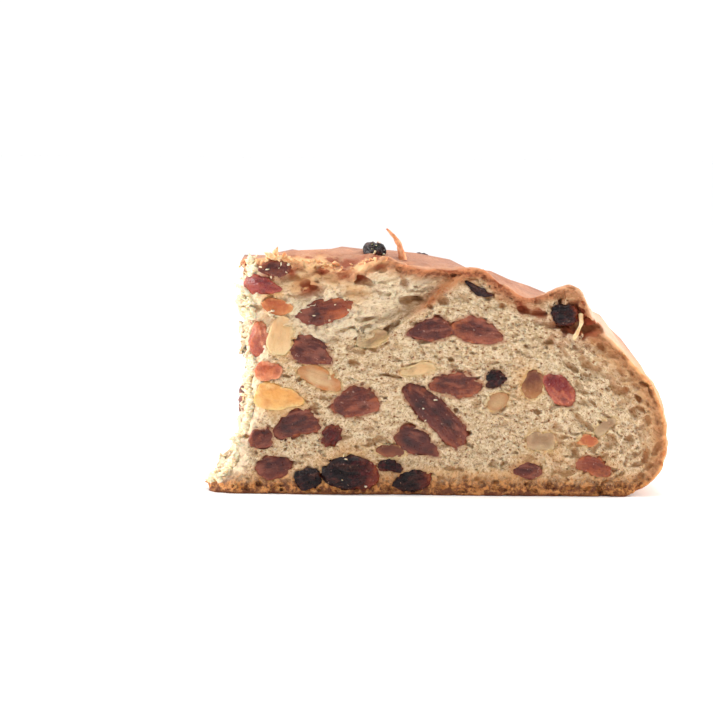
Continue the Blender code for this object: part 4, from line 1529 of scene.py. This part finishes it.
# Each kind of fruit: colours above (painted shade), below (painted light), in its folds (painted
# shade) and at its rim (partly its own edge, partly painted light through it) for the darkest
# fruit, the same for the lightest, roughness and how deep light goes in millimetres
FRUIT_LOOKS = {
    "raisin": (
        ((70, 22, 19), (102, 40, 29), (36, 12, 12), (134, 64, 40)),
        ((142, 61, 35), (184, 98, 54), (98, 36, 24), (196, 112, 62)), 0.24, 1.4),
    "currant": (
        ((17, 10, 13), (32, 16, 20), (6, 4, 6), (34, 16, 18)),
        ((92, 28, 32), (128, 50, 38), (34, 12, 14), (156, 76, 44)), 0.12, 0.4),
    "golden_raisin": (
        ((104, 48, 30), (132, 72, 44), (84, 38, 24), (150, 92, 56)),
        ((126, 76, 42), (172, 114, 66), (104, 56, 30), (190, 140, 86)), 0.34, 1.8),
    "pine_nut": (
        ((186, 146, 104), (200, 162, 118), (166, 122, 80), (178, 128, 84)),
        ((208, 164, 118), (224, 192, 146), (190, 138, 88), (192, 118, 58)), 0.45, 1.8),
    "candied_orange": (
        ((180, 90, 52), (202, 122, 70), (150, 68, 38), (212, 138, 84)),
        ((232, 164, 84), (244, 196, 122), (208, 124, 56), (246, 204, 140)), 0.26, 2.2),
    "candied_citron": (
        ((160, 126, 92), (190, 158, 122), (136, 102, 70), (196, 164, 126)),
        ((222, 178, 126), (232, 194, 144), (196, 150, 102), (232, 198, 150)), 0.30, 2.2),
    "candied_cherry": (
        ((122, 38, 40), (160, 64, 52), (78, 22, 28), (176, 86, 68)),
        ((194, 100, 62), (222, 138, 92), (158, 64, 42), (232, 164, 122)), 0.18, 2.0),
}

# Differences between the kinds: gloss, strength of the sheen, and where the rim starts and the
# least that shows of it; the values of the other kinds follow
DULL_FRUIT = {"currant": 0.22}
SHEEN = {"raisin": 0.45, "currant": 0.12}
RIMS = {"pine_nut": (0.42, 0.6)}
FRUIT_GLOSS = 0.4
FRUIT_SHEEN = 0.15
FRUIT_RIM = (0.55, 0.15)

# Colours of the sheen and of the glints on fruit
SHEEN_COLOUR = (172, 100, 78)
GLINT_COLOUR = (216, 170, 150)


def fruit_material(kind):
    dark, light, rough, depth = FRUIT_LOOKS[kind]
    nodes = Nodes(kind)
    lie = nodes.value("lie", "Vector")
    veins = nodes.noise(620, 4, 0.65)
    streaks = nodes.noise(760, 3, 0.6, lie)
    fine = nodes.noise(1300, 4, 0.6)
    tone = nodes.plus(nodes.value("tone"), nodes.range(veins, 0.35, 0.65, -0.12, 0.12))
    tone = nodes.plus(tone, nodes.range(streaks, 0.4, 0.68, -0.10, 0.22))
    tone = nodes.range(tone, 0.0, 1.0)
    upper, lower, fold, rim = (nodes.mix(tone, *pair) for pair in zip(dark, light))
    # Painted light and shade: lighter towards the bottom of each fruit, darker towards its top
    sway = nodes.times(nodes.math("SUBTRACT", nodes.noise(300, 3), 0.5), 2.4)
    height = nodes.plus(nodes.value("up"), sway)
    body = nodes.mix(nodes.range(height, -0.9, 0.5, 1.0, 0.0), upper, lower)
    # Painted shade in the creases of the skin
    creases = nodes.plus(nodes.value("fold"), nodes.times(sway, 0.15))
    body = nodes.mix(nodes.range(creases, -0.55, 0.1, 0.65, 0.0), body, fold)
    # Rim: partly the fruit's own edge colour, partly painted light through its thin edge
    start, least = RIMS.get(kind, FRUIT_RIM)
    edge = nodes.plus(nodes.value("rim"), nodes.times(sway, 0.1))
    broken = nodes.range(nodes.noise(420, 2), 0.4, 0.62, least, 0.9)
    body = nodes.mix(nodes.times(nodes.range(edge, start, start + 0.4), broken), body, rim)
    shown = SHEEN.get(kind, FRUIT_SHEEN)
    sheen = nodes.range(nodes.noise(330, 3, 0.6, lie), 0.5, 0.68, 0.0, shown)
    body = nodes.mix(sheen, body, SHEEN_COLOUR)
    glints = nodes.range(nodes.noise(900, 2, 0.7), 0.66, 0.74, 0.0, 0.42)
    nodes.drive("Base Color", nodes.mix(glints, body, GLINT_COLOUR))
    nodes.drive("Roughness", nodes.range(fine, 0.3, 0.7, rough, rough + 0.3))
    relief = nodes.plus(fine, nodes.times(veins, 1.3))
    nodes.bump(nodes.plus(relief, nodes.times(streaks, 1.4)), 0.24, 0.8)
    gloss = DULL_FRUIT.get(kind, FRUIT_GLOSS)
    nodes.set(Subsurface_Weight=0.45, Subsurface_Scale=depth * MM, Specular_IOR_Level=gloss)
    nodes.set(Subsurface_Radius=(1.0, 0.4, 0.25))
    return nodes.material


# ---------------------------------------------------------------- camera, light and floor

# Camera: sides of the square picture and focal length in pixels, x, distance from the
# knife-cut face and height in millimetres, and how far it looks down and rolls in degrees
PICTURE_SIZE = 713
FOCAL_PIXELS = 2696
CAMERA_X = -24.0
CAMERA_AWAY = 800.0
CAMERA_HEIGHT = 103.0
CAMERA_DOWN = 4.40
CAMERA_ROLL = 0.5
SENSOR_WIDTH = 36
CLIP_END = 100

# Studio: brightness from the horizon up and from the viewer's side to the back, as the range
# of the direction and the range of brightness, half side and paleness of the floor in metres
SKY_UP = (0.0, 1.0, 1.02, 1.35)
SKY_BACK = (-1.0, 0.3, 0.40, 1.0)
FLOOR_HALF = 30.0
FLOOR_COLOUR = (0.99, 0.99, 0.99, 1)
FLOOR_ROUGHNESS = 0.9

# Lights: name, place, target, size, watts and colour
LIGHTS = (
    ("left", (-0.85, 0.0, 0.35), (-0.04, -0.02, 0.04), 0.35, 7, (1, 0.98, 0.95)),
    ("top", (0.05, -0.2, 0.9), (0, -0.03, 0.03), 0.35, 2.5, (1, 1, 1)),
    ("right_back", (0.8, 0.25, 0.35), (0.05, -0.02, 0.04), 0.4, 7, (1, 0.98, 0.95)),
)


def make_camera():
    data = bpy.data.cameras.new("camera")
    data.sensor_width = SENSOR_WIDTH
    data.lens = FOCAL_PIXELS / PICTURE_SIZE * data.sensor_width
    data.clip_end = CLIP_END
    camera = bpy.data.objects.new("camera", data)
    camera.location = (CAMERA_X * MM, (FRONT_Y - CAMERA_AWAY) * MM, CAMERA_HEIGHT * MM)
    down = Matrix.Rotation(math.radians(90 - CAMERA_DOWN), 4, "X")
    roll = Matrix.Rotation(math.radians(CAMERA_ROLL), 4, "Z")
    camera.rotation_euler = (down @ roll).to_euler()
    bpy.context.scene.collection.objects.link(camera)
    bpy.context.scene.camera = camera


def make_area_light(name, place, target, size, watts, colour):
    data = bpy.data.lights.new(name, "AREA")
    data.shape = "DISK"
    data.size = size
    data.energy = watts
    data.color = colour
    light = bpy.data.objects.new(name, data)
    light.location = place
    light.rotation_euler = (Vector(target) - Vector(place)).to_track_quat("-Z", "Y").to_euler()
    bpy.context.scene.collection.objects.link(light)


def make_world():
    """White studio: brighter from above than from the viewer's side."""
    world = bpy.data.worlds.new("studio")
    world.use_nodes = True
    tree = world.node_tree
    place = tree.nodes.new("ShaderNodeTexCoord")
    parts = tree.nodes.new("ShaderNodeSeparateXYZ")
    tree.links.new(place.outputs["Generated"], parts.inputs[0])
    strengths = []
    for socket, ends in (("Z", SKY_UP), ("Y", SKY_BACK)):
        node = tree.nodes.new("ShaderNodeMapRange")
        tree.links.new(parts.outputs[socket], node.inputs["Value"])
        for key, number in zip(RANGE_SOCKETS, ends):
            node.inputs[key].default_value = number
        strengths.append(node.outputs["Result"])
    product = tree.nodes.new("ShaderNodeMath")
    product.operation = "MULTIPLY"
    tree.links.new(strengths[0], product.inputs[0])
    tree.links.new(strengths[1], product.inputs[1])
    tree.links.new(product.outputs[0], tree.nodes["Background"].inputs["Strength"])
    tree.nodes["Background"].inputs["Color"].default_value = (1, 1, 1, 1)
    bpy.context.scene.world = world


def make_stage():
    """Pale floor, white surroundings and soft lights."""
    mesh = bpy.data.meshes.new("floor")
    half = FLOOR_HALF
    corners = [(-half, -half, 0), (half, -half, 0), (half, half, 0), (-half, half, 0)]
    mesh.from_pydata(corners, [], [(0, 1, 2, 3)])
    floor = bpy.data.objects.new("floor", mesh)
    bpy.context.scene.collection.objects.link(floor)
    material = bpy.data.materials.new("floor")
    material.use_nodes = True
    shader = material.node_tree.nodes["Principled BSDF"]
    shader.inputs["Base Color"].default_value = FLOOR_COLOUR
    shader.inputs["Roughness"].default_value = FLOOR_ROUGHNESS
    mesh.materials.append(material)
    make_world()
    bpy.context.scene.view_settings.view_transform = "Standard"
    for light in LIGHTS:
        make_area_light(*light)


def main():
    make_stage()
    make_camera()
    looks = {kind: fruit_material(kind) for kind in FRUIT_LOOKS}
    fruit = [make_fruit(name) for name in fruit_nodes()]
    for piece in fruit:
        piece.data.materials.append(looks[kind_of(piece.name)])
    bread = make_bread(fruit)
    make_flakes(bread, fruit)
    make_shards(bread)
    for name, points, seed in (("crust_curl", CURL, 1), ("crumb_strand", STRAND, 2)):
        thread = make_thread(name, points, seed)
        thread.data.materials.append(scrap_material(name))


main()
